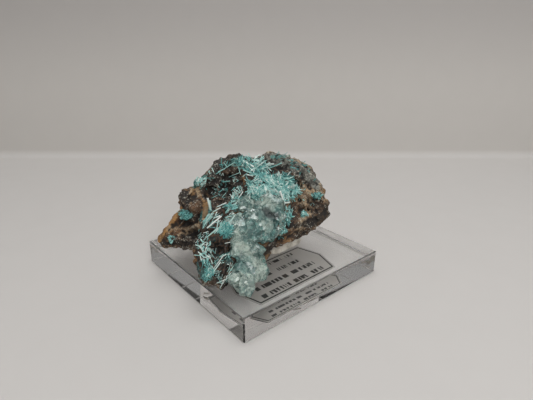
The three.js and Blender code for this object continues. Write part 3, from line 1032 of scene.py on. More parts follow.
def read(items: bpy.types.bpy_prop_collection, name: str, width: int = 3) -> np.ndarray:
    """Reads one property of many mesh elements.

    Args:
        items: The elements.
        name: The property's name.
        width: How many numbers it has.

    Returns:
        The numbers, one element a row, or a flat array where the width is one.
    """
    flat = np.empty(len(items) * width)
    items.foreach_get(name, flat)
    return flat.reshape(-1, width) if width > 1 else flat


def edge_ends(obj: bpy.types.Object) -> tuple[np.ndarray, np.ndarray]:
    """Reads which vertices the edges of a piece join.

    Args:
        obj: The piece.

    Returns:
        The first and the second vertex number of every edge.
    """
    ends = np.empty(len(obj.data.edges) * 2, dtype=np.int64)
    obj.data.edges.foreach_get("vertices", ends)
    first, second = ends.reshape(-1, 2).T
    return first, second


def drop_crumbs(obj: bpy.types.Object, least: int) -> None:
    """Deletes a piece's loose bits.

    Args:
        obj: The piece.
        least: How many vertices a bit has at least if it stays.
    """
    first, second = edge_ends(obj)
    part, before = np.arange(len(obj.data.vertices)), None
    while before is None or (part != before).any():
        before = part.copy()
        low = np.minimum(part[first], part[second])
        np.minimum.at(part, first, low)
        np.minimum.at(part, second, low)
        part = part[part]
    small = np.bincount(part)[part] < least
    if small.any():
        for items in (obj.data.polygons, obj.data.edges):
            items.foreach_set("select", np.zeros(len(items), dtype=bool))
        obj.data.vertices.foreach_set("select", small)
        pick(obj)
        bpy.ops.object.mode_set(mode="EDIT")
        bpy.ops.mesh.select_mode(type="VERT")
        bpy.ops.mesh.delete(type="VERT")
        bpy.ops.object.mode_set(mode="OBJECT")


def store(obj: bpy.types.Object, name: str, values: np.ndarray) -> None:
    """Keeps a value for each vertex of a piece.

    Args:
        obj: The piece.
        name: The attribute that holds the values.
        values: One number for each vertex, or four that are kept as a colour.
    """
    wide = values.ndim > 1
    layer = obj.data.attributes.new(name, "FLOAT_COLOR" if wide else "FLOAT", "POINT")
    layer.data.foreach_set("color" if wide else "value", values.astype(np.float32).ravel())


def mesh_object(name: str, points: np.ndarray, faces: np.ndarray) -> bpy.types.Object:
    """Makes an object from an array of points and one of faces.

    Args:
        name: The object's name.
        points: One point a row, in metres.
        faces: One triangle of point numbers a row.

    Returns:
        The new object.
    """
    mesh = bpy.data.meshes.new(name)
    mesh.from_pydata(points.tolist(), [], faces.tolist())
    mesh.update()
    obj = bpy.data.objects.new(name, mesh)
    bpy.context.collection.objects.link(obj)
    return obj


def join(pieces: list[bpy.types.Object], name: str) -> bpy.types.Object:
    """Joins objects into the first of them.

    Args:
        pieces: The objects.
        name: The name of what they become.

    Returns:
        The joined object.
    """
    deselect()
    for piece in pieces:
        piece.select_set(True)
    bpy.context.view_layer.objects.active = pieces[0]
    bpy.ops.object.join()
    pieces[0].name = name
    return pieces[0]


def settle(piece: bpy.types.Object, node: str = "") -> None:
    """Hands a finished piece over to the frame.

    Args:
        piece: The piece.
        node: The solid that it replaces, if any.
    """
    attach(piece, "root")
    if node:
        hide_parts(node)
    LOG.info("%s: %d faces", piece.name, len(piece.data.polygons))


class Relief(Enum):
    """The kinds of relief that a surface is given."""

    SOFT = ("CLOUDS", "SOFT_NOISE")
    CREASED = ("CLOUDS", "HARD_NOISE")
    GRAINY = ("VORONOI", "")


@dataclass(frozen=True)
class Roughening:
    """One layer of relief pushed into a surface."""

    kind: Relief
    size: float  # across one lump
    height: float
    level: float = 0.5  # the part of the pattern that leaves the surface where it is
    depth: int = 2  # how many finer patterns lie in the first

    def add_to(self, obj: bpy.types.Object, group: str = "") -> None:
        """Adds the layer to an object as a modifier.

        Args:
            obj: The object.
            group: The vertex group that says where the layer is strong, if any.
        """
        kind, pattern = self.kind.value
        texture = bpy.data.textures.new(f"{obj.name}_{self.kind.name}_{self.size}", kind)
        texture.noise_scale = self.size * MM
        if pattern:
            texture.noise_type = pattern
            texture.noise_depth = self.depth
        modifier = obj.modifiers.new(f"relief_{self.size}", "DISPLACE")
        modifier.texture = texture
        modifier.texture_coords = "LOCAL"
        modifier.strength = self.height * MM
        modifier.mid_level = self.level
        modifier.vertex_group = group


@dataclass(frozen=True)
class Weathering:
    """Everything that turns a plain solid of stone or felt into a rough piece."""

    layers: tuple[Roughening, ...]
    even: float = 0.22  # voxel of the mesh that takes the relief
    voxel: float = 0.2  # of the closed mesh that is made after the relief
    raise_by: float = 0.7
    sink_by: float = 1.1
    calm: float = 0.75  # how far smooth places escape the layers
    lull: float = 0.45  # how much weaker the layers are in broad calm stretches
    lull_size: float = 5.5
    lull_edge: float = 1.6  # how sharply the calm stretches begin
    least: int = 150  # vertices in the smallest loose bit that stays
    front_edge: float = 3.0  # how quickly the display side gives way to the rest
    front_past: float = 0.9  # how far it reaches round the side
    hollow_reach: int = 10  # rounds of smoothing that find a vertex's surroundings
    hollow_depth: float = 0.22

    def build(self, node: str, name: str, finish: bpy.types.Material) -> bpy.types.Object:
        """Makes a rough piece of one of the frame's plain solids.

        Args:
            node: The solid's name.
            name: The piece's name.
            finish: The piece's material.

        Returns:
            The piece.
        """
        piece = merged_copy(node, name)
        remesh(piece, self.even)
        self.roughen(piece)
        piece.data.materials.append(finish)
        piece.data.shade_smooth()
        return piece

    def roughen(self, obj: bpy.types.Object) -> None:
        """Roughens an object and stores its zones and its hollows, which drive painted shade.

        Args:
            obj: The object, which has an even mesh.
        """
        points = read(obj.data.vertices, "co")
        places = VIEW.project(points)
        front = self.facing(obj)
        swell = np.array([noise.noise(Vector(p) / (self.lull_size * MM)) for p in points])
        rough = 1 - self.calm * Zone.SMOOTH.cover(places) * front
        rough *= 1 - self.lull * np.clip(0.5 + self.lull_edge * swell, 0, 1)
        self.group(obj, "rough", rough)
        self.group(obj, "raised", Zone.RAISED.cover(places) * front)
        self.group(obj, "sunken", Zone.SUNKEN.cover(places) * front)
        self.push(obj, "raised", self.raise_by)
        self.push(obj, "sunken", -self.sink_by)
        for layer in self.layers:
            layer.add_to(obj, "rough")
        apply_modifiers(obj)
        obj.vertex_groups.clear()
        remesh(obj, self.voxel)
        drop_crumbs(obj, self.least)
        self.paint(obj)

    def facing(self, obj: bpy.types.Object) -> np.ndarray:
        """Measures how squarely each vertex faces the display side.

        Args:
            obj: The object.

        Returns:
            A number from 0 at the back to 1 at the front for each vertex.
        """
        normals = read(obj.data.vertices, "normal")
        ahead = VIEW.axes()[2]
        return np.clip(-(normals @ ahead) * self.front_edge + self.front_past, 0, 1)

    @staticmethod
    def group(obj: bpy.types.Object, name: str, weights: np.ndarray) -> None:
        """Stores weights as a vertex group.

        Args:
            obj: The object.
            name: The group's name.
            weights: One weight for each vertex.
        """
        group = obj.vertex_groups.new(name=name)
        for index, weight in enumerate(weights.tolist()):
            group.add((index,), weight, "REPLACE")

    @staticmethod
    def push(obj: bpy.types.Object, group: str, height: float) -> None:
        """Pushes a vertex group out of the surface, or into it.

        Args:
            obj: The object.
            group: The group's name.
            height: How far out it goes, less than zero for inwards.
        """
        modifier = obj.modifiers.new(group, "DISPLACE")
        modifier.strength = height * MM
        modifier.mid_level = 0.0
        modifier.vertex_group = group

    def paint(self, obj: bpy.types.Object) -> None:
        """Stores the zones and the hollows, which drive painted shade, as attributes.

        Args:
            obj: The object.
        """
        places = VIEW.project(read(obj.data.vertices, "co"))
        front = self.facing(obj)
        zones = [z.cover(places) * front for z in (Zone.OCHRE, Zone.GREY, Zone.BLACK, Zone.TEAL)]
        tan, rust, smooth = [z.cover(places) * front for z in (Zone.TAN, Zone.RUST, Zone.SMOOTH)]
        store(obj, "zones", np.stack(zones, axis=1))
        store(obj, "marks", np.stack([tan, rust, np.zeros(len(places)), smooth], axis=1))
        store(obj, "hollow", self.hollows(obj))

    def hollows(self, obj: bpy.types.Object) -> np.ndarray:
        """Measures how deep each vertex lies below its surroundings.

        Args:
            obj: The object.

        Returns:
            A number from 0 on a ridge to 1 in a pit for each vertex.
        """
        points, normals = read(obj.data.vertices, "co"), read(obj.data.vertices, "normal")
        first, second = edge_ends(obj)
        count = len(points)
        degree = np.bincount(first, minlength=count) + np.bincount(second, minlength=count)
        smooth = points.copy()
        for _ in range(self.hollow_reach):
            total = np.empty_like(smooth)
            for axis, column in enumerate(smooth.T):
                total[:, axis] = np.bincount(first, column[second], count)
                total[:, axis] += np.bincount(second, column[first], count)
            smooth = total / degree[:, None]
        below = np.einsum("ij,ij->i", smooth - points, normals) / MM
        return np.clip(0.5 + below / self.hollow_depth * 0.5, 0, 1)


# The base


@dataclass
class DisplayBase:
    """The acrylic slab and the paper label in its underside."""

    label_top: float = 0.12
    label_bottom: float = 0.01
    label_size: LabelSize = LabelSize()

    def build(self) -> None:
        """Dresses the slab and lays the label under it."""
        slab = bpy.data.objects["acrylic_slab"]
        slab.data.materials.clear()
        slab.data.materials.append(AcrylicFinish().material())
        LOG.info("acrylic slab dressed")
        label = self.label()
        label.data.materials.append(LabelFinish(self.label_size).material())
        settle(label, "base_label")

    def label(self) -> bpy.types.Object:
        """Shapes the label: a rectangle of paper whose short ends are drawn out to a point.

        Returns:
            The label.
        """
        size = self.label_size
        half_length, half_width = size.half_length * MM, size.half_width * MM
        thickness = (self.label_top - self.label_bottom) * MM
        deselect()
        bpy.ops.mesh.primitive_cube_add(size=1, location=(0, 0, 0))
        label = bpy.context.object
        label.name = "paper_label"
        bpy.ops.object.mode_set(mode="EDIT")
        bpy.ops.mesh.select_all(action="SELECT")
        bpy.ops.transform.resize(value=(2 * half_length, 2 * half_width, thickness))
        bpy.ops.mesh.bisect(plane_co=(0, 0, 0), plane_no=(0, 1, 0))
        bpy.ops.object.mode_set(mode="OBJECT")
        select_where(label, lambda at: abs(at.y) < NEAR and abs(at.x) > half_length / 2)
        bpy.ops.object.mode_set(mode="EDIT")
        bpy.ops.transform.resize(value=(1 + size.point / size.half_length, 1, 1))
        bpy.ops.object.mode_set(mode="OBJECT")
        middle = self.label_bottom * MM + thickness / 2
        label.data.transform(Matrix.Translation((size.centre[0] * MM, size.centre[1] * MM, middle)))
        return label


@dataclass
class Putty:
    """The dab of putty between the slab and the stone."""

    voxel: float = 0.3
    floor: float = 6.33
    relief: tuple[Roughening, ...] = (
        Roughening(Relief.SOFT, 4.0, 1.3),
        Roughening(Relief.CREASED, 2.4, -0.5, 0.3),
        Roughening(Relief.SOFT, 0.8, 0.14),
    )

    def build(self) -> None:
        """Rounds the dab off and gives it its dents."""
        dab = merged_copy("mounting_putty", "putty_dab")
        remesh(dab, self.voxel)
        for layer in self.relief:
            layer.add_to(dab)
        apply_modifiers(dab)
        for vertex in dab.data.vertices:
            vertex.co.z = max(vertex.co.z, self.floor * MM)
        dab.data.materials.append(PuttyFinish().material())
        dab.data.shade_smooth()
        settle(dab, "mounting_putty")


# The stone and the felt


@dataclass
class Stone:
    """The limonite the crystals grew on."""

    weathering: Weathering = Weathering(
        (
            Roughening(Relief.CREASED, 3.4, -1.7, 0.35, 3),
            Roughening(Relief.GRAINY, 1.6, -0.75, 0.42),
            Roughening(Relief.SOFT, 0.6, 0.8, 0.5, 3),
            Roughening(Relief.GRAINY, 0.55, -0.3, 0.42),
        ),
        voxel=0.236,
    )

    def build(self) -> bpy.types.Object:
        """Roughens the stone and paints its zones.

        Returns:
            The stone.
        """
        stone = self.weathering.build("limonite_stone", "rough_stone", LimoniteFinish().material())
        settle(stone, "limonite_stone")
        return stone


@dataclass
class Felt:
    """The felted crust of fine needles that the long ones stand in."""

    weathering: Weathering = Weathering(
        (
            Roughening(Relief.CREASED, 1.6, -0.8, 0.35, 2),
            Roughening(Relief.SOFT, 0.5, 0.5, 0.5, 2),
        )
    )

    def build(self, finish: bpy.types.Material) -> bpy.types.Object:
        """Roughens the crust.

        Args:
            finish: The felt's material.

        Returns:
            The crust.
        """
        felt = self.weathering.build("aurichalcite_crust", "felted_crust", finish)
        settle(felt, "aurichalcite_crust")
        return felt


# The needles


@dataclass(frozen=True)
class Shape:
    """One small crystal, modelled once and then copied: its points and its triangles."""

    points: np.ndarray
    faces: np.ndarray

    @classmethod
    def prism(cls, sides: int, low: float, high: float, rise: Place, end: Span | None = None) -> Shape:
        """Models an upright prism, one unit thick, with an end that is drawn out of its top.

        Args:
            sides: How many sides it has.
            low: How high its foot is.
            high: How high its end begins.
            rise: How far the end is drawn out.
            end: How wide the end stays in x and y, or None for a point.

        Returns:
            The shape.
        """
        deselect()
        middle = (0, 0, (low + high) / 2)
        bpy.ops.mesh.primitive_cylinder_add(vertices=sides, radius=0.5, depth=high - low, location=middle)
        model = bpy.context.object
        bpy.ops.object.transform_apply(location=True)
        for polygon in model.data.polygons:
            polygon.select = abs(polygon.center.z - high) < NEAR
        bpy.ops.object.mode_set(mode="EDIT")
        bpy.ops.mesh.select_mode(type="FACE")
        bpy.ops.mesh.extrude_region_move(TRANSFORM_OT_translate={"value": rise})
        if end:
            bpy.ops.transform.resize(value=(*end, 1))
        else:
            bpy.ops.mesh.merge(type="CENTER")
        bpy.ops.mesh.select_all(action="SELECT")
        bpy.ops.mesh.quads_convert_to_tris()
        bpy.ops.object.mode_set(mode="OBJECT")
        faces = np.array([list(p.vertices) for p in model.data.polygons])
        shape = cls(read(model.data.vertices, "co"), faces)
        bpy.data.objects.remove(model)
        return shape

    def copies(
        self, name: str, roots: np.ndarray, across: np.ndarray, over: np.ndarray, along: np.ndarray
    ) -> bpy.types.Object:
        """Makes one object of many copies, each stretched along three directions of its own.

        Args:
            name: The object's name.
            roots: Where each copy's own origin goes.
            across: What its x becomes.
            over: What its y becomes.
            along: What its z becomes.

        Returns:
            The object.
        """
        x, y, z = self.points[None, :, 0:1], self.points[None, :, 1:2], self.points[None, :, 2:3]
        points = roots[:, None] + x * across[:, None] + y * over[:, None] + z * along[:, None]
        offsets = (np.arange(len(roots)) * len(self.points))[:, None, None]
        return mesh_object(name, points.reshape(-1, 3), (self.faces[None] + offsets).reshape(-1, 3))


@dataclass
class Bed:
    """The surfaces that needles are rooted in."""

    tree: BVHTree
    coarse: BVHTree

    @classmethod
    def of(cls, pieces: list[bpy.types.Object], solids: list[str]) -> Bed:
        """Gathers the surfaces.

        Args:
            pieces: The finished rough pieces, which the roots touch.
            solids: The plain solids, whose facets say which way the ground faces.

        Returns:
            The bed.
        """
        return cls(cls.gather(pieces), cls.gather([bpy.data.objects[name] for name in solids]))

    @staticmethod
    def gather(pieces: list[bpy.types.Object]) -> BVHTree:
        """Makes one search tree of several pieces.

        Args:
            pieces: The pieces.

        Returns:
            The tree.
        """
        points: list[list[float]] = []
        faces: list[list[int]] = []
        for piece in pieces:
            start = len(points)
            points += read(piece.data.vertices, "co").tolist()
            faces += [[start + i for i in p.vertices] for p in piece.data.polygons]
        return BVHTree.FromPolygons(points, faces)

    def hit(self, u: float, v: float) -> tuple[np.ndarray, np.ndarray] | None:
        """Carries a place on the view grid back to the bed.

        Args:
            u: How far right it is.
            v: How far down it is.

        Returns:
            The point and the outward direction there, or None where the line of sight misses.
        """
        eye, line = Vector(VIEW.eye) * MM, Vector(VIEW.sight(u, v))
        point = self.tree.ray_cast(eye, line)[0]
        if point is None:
            return None
        normal = self.coarse.find_nearest(point)[1]
        out = np.array(normal) if normal else -np.array(line)
        if out @ np.array(line) > 0:
            out = -np.array(line)
        return np.array(point), out / np.linalg.norm(out)


@dataclass
class Bundle:
    """Needles collected for one piece."""

    name: str
    roots: list[np.ndarray] = field(default_factory=list)
    runs: list[np.ndarray] = field(default_factory=list)
    widths: list[float] = field(default_factory=list)
    tones: list[float] = field(default_factory=list)
    thickness: float = 0.6  # against a needle's width

    def add(self, root: np.ndarray, run: np.ndarray, width: float, tone: float) -> None:
        """Adds a needle.

        Args:
            root: Where it stands.
            run: The way from its root to its tip.
            width: Its width in millimetres.
            tone: How pale it is, from 0 to 1.
        """
        self.roots.append(root)
        self.runs.append(run)
        self.widths.append(width)
        self.tones.append(tone)

    def build(self, shape: Shape, seed: int) -> bpy.types.Object:
        """Makes all the needles as one object.

        Args:
            shape: The needle to copy.
            seed: The seed of their turn about their own length.

        Returns:
            The object.
        """
        rng = np.random.default_rng(seed)
        roots, runs = np.array(self.roots), np.array(self.runs)
        width = np.array(self.widths)[:, None] * MM
        side = units(np.cross(runs, rng.normal(size=runs.shape)))
        other = units(np.cross(runs, side))
        piece = shape.copies(self.name, roots, side * width, other * width * self.thickness, runs)
        store(piece, "tone", np.repeat(np.array(self.tones), len(shape.points)))
        store(piece, "along", np.tile(shape.points[:, 2], len(roots)))
        return piece


@dataclass(frozen=True)
class NeedleZone:
    """An oval on the view grid that is planted with sprays of needles."""

    u: float
    v: float
    across: float
    up: float
    sprays: int
    needles: int
    length: Span
    width: Span
    rise: Span = (4, 35)  # degrees off the ground
    angle: float | None = None  # degrees from the right, anticlockwise as seen, or any way
    spread: float = 25
    fan: float = 22
    tone: Span = (0.1, 0.9)
    tilt: float = 0.0  # degrees that the oval is turned anticlockwise as seen
    scatter: float = 0.16  # how far the needles of a spray stand apart
    root: float = 0.15  # how deep they stand in the ground

    def plant(self, bundle: Bundle, bed: Bed, rng: np.random.Generator) -> None:
        """Plants the zone.

        Args:
            bundle: The bundle that takes the needles.
            bed: The surfaces they are rooted in.
            rng: The source of chance.
        """
        right, up, _ = VIEW.axes()
        turn = math.radians(self.tilt)
        for _ in range(self.sprays):
            reach, way = math.sqrt(rng.random()), rng.uniform(0, 2 * math.pi)
            a, b = self.across * reach * math.cos(way), self.up * reach * math.sin(way)
            u = self.u + a * math.cos(turn) - b * math.sin(turn)
            v = self.v - a * math.sin(turn) - b * math.cos(turn)
            found = bed.hit(u, v)
            if found is None or rng.random() < Zone.BARE.cover(np.array([[u, v]]))[0]:
                continue
            point, normal = found
            middle = self.angle if self.angle is not None else rng.uniform(0, 360)
            lead = middle + rng.normal(0, self.spread)
            for _ in range(self.needles):
                angle = math.radians(lead + rng.normal(0, self.fan))
                level = right * math.cos(angle) + up * math.sin(angle)
                level = level - normal * (level @ normal)
                level /= np.linalg.norm(level)
                rise = math.radians(rng.uniform(*self.rise))
                axis = level * math.cos(rise) + normal * math.sin(rise)
                aside = (right * rng.normal() + up * rng.normal()) * self.scatter * MM
                length, width = rng.uniform(*self.length), rng.uniform(*self.width)
                run = axis * length * MM
                bundle.add(point + aside - axis * self.root * MM, run, width, rng.uniform(*self.tone))


@dataclass(frozen=True)
class Blade:
    """One broad blade that is given from its root to its tip on the view grid."""

    u: float
    v: float
    end_u: float
    end_v: float
    width: float
    tone: float = 0.85
    lift: float = 0.5  # how far its tip stays in front of the ground below it
    probes: tuple[float, ...] = (0.35, 0.7, 1.0)  # where along it the ground is looked for

    def plant(self, bundle: Bundle, bed: Bed) -> None:
        """Lays the blade over the bed.

        Args:
            bundle: The bundle that takes the blade.
            bed: The surfaces it lies on.
        """
        found = bed.hit(self.u, self.v)
        if found is None:
            return
        root, ahead = found[0], VIEW.axes()[2]
        eye = np.array(VIEW.eye) * MM
        depth = float((root - eye) @ ahead)
        for share in self.probes:
            u, v = self.u + (self.end_u - self.u) * share, self.v + (self.end_v - self.v) * share
            over = bed.hit(u, v)
            if over is not None:
                depth = min(depth, float((over[0] - eye) @ ahead))
        line = VIEW.sight(self.end_u, self.end_v)
        tip = eye + line * (depth - self.lift * MM) / (line @ ahead)
        bundle.add(root, tip - root, self.width, self.tone)


# Zones of short needles that make the felt's nap
FELTED = (
    NeedleZone(273, 187, 25, 12, 300, 4, (0.9, 2.2), (0.14, 0.28), (0, 30), tone=(0.0, 0.75), tilt=-8),
    NeedleZone(256, 168, 18, 8, 70, 4, (1.0, 2.4), (0.14, 0.28), (0, 28), tone=(0.0, 0.7), tilt=-10),
    NeedleZone(247, 200, 20, 6, 120, 4, (0.9, 2.2), (0.15, 0.3), (0, 32), tone=(0.0, 0.7), tilt=24),
    NeedleZone(215, 222, 16, 9, 16, 3, (0.9, 2.0), (0.12, 0.2), (0, 25), 40, 25, 22, (0.0, 0.7), 35),
    NeedleZone(226, 231, 5, 8, 34, 4, (0.9, 2.0), (0.16, 0.3), (0, 35), 60, 25, 22, (0.0, 0.45)),
    NeedleZone(204, 245, 8, 12, 22, 3, (0.7, 1.5), (0.12, 0.22), (0, 40), tone=(0.3, 0.95)),
    NeedleZone(206, 270, 5, 11, 30, 3, (0.7, 1.6), (0.12, 0.22), (0, 35), 70, 60, 30, (0.0, 0.35), -15),
    NeedleZone(221, 272, 10, 16, 26, 2, (0.9, 2.0), (0.1, 0.17), (2, 25), 45, 40, 20, (0.3, 0.95)),
    NeedleZone(285, 222, 4, 18, 60, 4, (0.6, 1.4), (0.13, 0.24), (0, 40), tone=(0.0, 0.7), tilt=-18),
    NeedleZone(286, 161, 20, 6, 20, 2, (0.7, 1.7), (0.12, 0.22), (0, 12), 10, 40, 20, (0.0, 0.4), -20),
)
# Zones where short needles stand far apart on bare stone
SPARSE = (
    NeedleZone(222, 184, 20, 16, 44, 2, (0.4, 1.1), (0.1, 0.17), (0, 18), tone=(0.1, 0.85)),
    NeedleZone(228, 165, 14, 7, 10, 2, (0.9, 2.0), (0.12, 0.22), (0, 14), 35, 50, 20, (0.1, 0.5), 20),
    NeedleZone(300, 200, 16, 16, 16, 2, (0.5, 1.2), (0.11, 0.2), (0, 30), tone=(0.1, 0.7)),
    NeedleZone(308, 175, 12, 9, 8, 2, (0.5, 1.4), (0.11, 0.2), (0, 14), tone=(0.0, 0.4), tilt=-40),
    NeedleZone(222, 256, 12, 8, 14, 2, (0.7, 1.6), (0.12, 0.2), (0, 25), tone=(0.1, 0.8)),
)
# Zones of long needles over the nap
SPRAYS = (
    NeedleZone(257, 168, 16, 8, 26, 3, (1.4, 3.2), (0.18, 0.34), (2, 20), -20, 45, 20, (0.6, 1.0), -10),
    NeedleZone(272, 186, 24, 11, 90, 3, (1.1, 2.6), (0.15, 0.3), (2, 28), tone=(0.5, 1.0)),
    NeedleZone(246, 196, 16, 7, 32, 3, (1.0, 2.6), (0.14, 0.3), (2, 28), 55, 45, 20, (0.55, 1.0), 20),
    NeedleZone(213, 225, 16, 10, 27, 3, (1.4, 3.4), (0.14, 0.28), (1, 16), 43, 17, 12, (0.4, 1.0), 38),
    NeedleZone(226, 232, 6, 8, 22, 3, (1.2, 2.4), (0.2, 0.36), (4, 28), 62, 25, 18, (0.15, 0.7)),
    NeedleZone(204, 249, 7, 9, 15, 3, (0.8, 2.0), (0.14, 0.28), (2, 30), tone=(0.45, 1.0)),
    NeedleZone(208, 271, 6, 10, 19, 3, (0.9, 2.2), (0.13, 0.26), (2, 32), 75, 40, 20, (0.1, 0.9)),
    NeedleZone(221, 270, 10, 14, 15, 3, (1.2, 3.0), (0.1, 0.19), (2, 20), 48, 20, 10, (0.5, 1.0)),
    NeedleZone(222, 184, 18, 14, 8, 2, (1.0, 2.2), (0.14, 0.22), (2, 16), tone=(0.2, 0.6)),
    NeedleZone(283, 199, 5, 8, 14, 3, (1.2, 2.4), (0.18, 0.32), (4, 30), 100, 40, 20, (0.5, 1.0)),
)
BLADES = (
    Blade(242.5, 160.5, 256, 168, 0.44, 1.0), Blade(256, 168, 265.5, 160.5, 0.34, 0.9),
    Blade(246, 164, 254, 172, 0.35, 0.8), Blade(243, 170, 262, 177, 0.3, 0.75),
    Blade(247, 174.5, 254, 176.2, 0.5, 1.0), Blade(234.5, 200.5, 242, 188.5, 0.28, 1.0),
    Blade(237, 200.5, 244, 190, 0.26, 0.9), Blade(252, 186, 266, 192, 0.28, 0.95),
    Blade(283.5, 201, 279.5, 189, 0.42, 1.0), Blade(290, 202.3, 272, 204.8, 0.42, 0.98),
    Blade(289, 201, 283, 200.6, 0.3, 0.35), Blade(210.5, 210, 207, 196, 0.64, 0.85, 1.0),
    Blade(211, 208, 209.5, 199, 0.4, 0.55, 1.0), Blade(198, 236, 214, 222, 0.42, 0.8),
    Blade(201, 238, 224, 217, 0.34, 1.0), Blade(199, 232, 212, 221, 0.3, 0.9),
    Blade(204, 240, 220, 226, 0.4, 0.7), Blade(207, 228, 224, 214, 0.3, 1.0),
    Blade(225, 243.5, 231, 242, 0.34, 0.95), Blade(221, 257, 227, 254, 0.35, 1.0),
    Blade(212, 274, 222, 260, 0.26, 0.8), Blade(214, 268, 224, 255, 0.24, 0.9),
    Blade(222, 262, 230, 265, 0.24, 0.8), Blade(216, 174, 238, 160, 0.3, 0.5),
    Blade(218, 172, 226, 168, 0.28, 0.75), Blade(224, 163, 228, 168, 0.35, 0.6),
    Blade(238, 166, 241, 176, 0.3, 0.6), Blade(229, 177, 241, 172, 0.28, 0.6),
    Blade(223, 182, 231, 181, 0.35, 0.4), Blade(212, 168, 214, 173, 0.35, 0.75),
    Blade(270, 168, 284, 162, 0.34, 0.45), Blade(287, 176, 291, 171, 0.26, 1.0),
    Blade(266, 178, 272, 188, 0.24, 0.95), Blade(276, 190, 281, 182, 0.24, 0.9),
    Blade(227, 226, 236, 214, 0.3, 0.75), Blade(222, 232, 232, 222, 0.3, 0.35),
    Blade(220, 236, 229, 229, 0.32, 0.25), Blade(203, 252, 199, 245, 0.3, 0.9),
    Blade(205, 251, 207, 246, 0.26, 0.95), Blade(199, 247, 205, 243, 0.28, 0.85),
    Blade(217, 207, 228, 202, 0.3, 0.9), Blade(213, 212, 222, 207, 0.3, 0.85),
    Blade(228, 208, 240, 201, 0.32, 0.8), Blade(206, 282, 209, 272, 0.34, 0.5),
    Blade(217, 283, 226, 279, 0.28, 0.95), Blade(220, 288, 224, 281, 0.26, 0.9),
)


@dataclass
class Needles:
    """The needles of the crust, in two pieces: the short ones, and the long ones with the blades."""

    seed: int = 21

    def build(self, shape: Shape, bed: Bed, finish: bpy.types.Material) -> None:
        """Plants all the zones and the blades.

        Args:
            shape: The needle to copy.
            bed: The surfaces they are rooted in.
            finish: Their material.
        """
        rng = np.random.default_rng(self.seed)
        fine, sprays = Bundle("felt_needles"), Bundle("needle_sprays")
        for zone in FELTED + SPARSE:
            zone.plant(fine, bed, rng)
        for zone in SPRAYS:
            zone.plant(sprays, bed, rng)
        for blade in BLADES:
            blade.plant(sprays, bed)
        for number, bundle in enumerate((fine, sprays)):
            piece = bundle.build(shape, self.seed + number)
            piece.data.materials.append(finish)
            settle(piece)


@dataclass
class Tuft:
    """A small separate cushion of needles on bare stone."""

    name: str
    seed: int
    sprays: int = 46
    angle: float | None = None
    tone: Span = (0.0, 0.7)
    planted: float = 0.42  # the half width of the needles' oval against the cushion's width
    weathering: Weathering = Weathering(
        (Roughening(Relief.SOFT, 0.9, 1.0, 0.85), Roughening(Relief.SOFT, 0.4, 0.3)), even=0.2
    )

    def build(self, shape: Shape, felt: bpy.types.Material, finish: bpy.types.Material) -> None:
        """Builds the cushion with its needles as one piece.

        Args:
            shape: The needle to copy.
            felt: The cushion's material.
            finish: The needles' material.
        """
        node = f"aurichalcite_patch_{self.name}"
        cushion = self.weathering.build(node, f"{self.name}_cushion", felt)
        places = VIEW.project(read(cushion.data.vertices, "co"))
        (left, top), (right, bottom) = places.min(axis=0), places.max(axis=0)
        zone = NeedleZone(
            (left + right) / 2, (top + bottom) / 2, (right - left) * self.planted,
            (bottom - top) * self.planted, self.sprays, 3, (0.5, 1.2), (0.13, 0.24), (0, 14),
            self.angle, spread=20, fan=20, tone=self.tone,
        )
        bundle = Bundle(f"{self.name}_needles")
        zone.plant(bundle, Bed.of([cushion], [node]), np.random.default_rng(self.seed))
        needles = bundle.build(shape, self.seed)
        needles.data.materials.append(finish)
        settle(join([cushion, needles], f"needle_tuft_{self.name}"), node)


TUFTS = (
    Tuft("arm", 30, sprays=26, tone=(0.0, 0.55)),
    Tuft("tip", 31, sprays=20, tone=(0.2, 0.7)),
    Tuft("right", 32, sprays=24, tone=(0.25, 0.8)),
    Tuft("edge", 33, sprays=26),
    Tuft("shoulder", 34, angle=48, tone=(0.4, 0.95)),
)


# The crystals


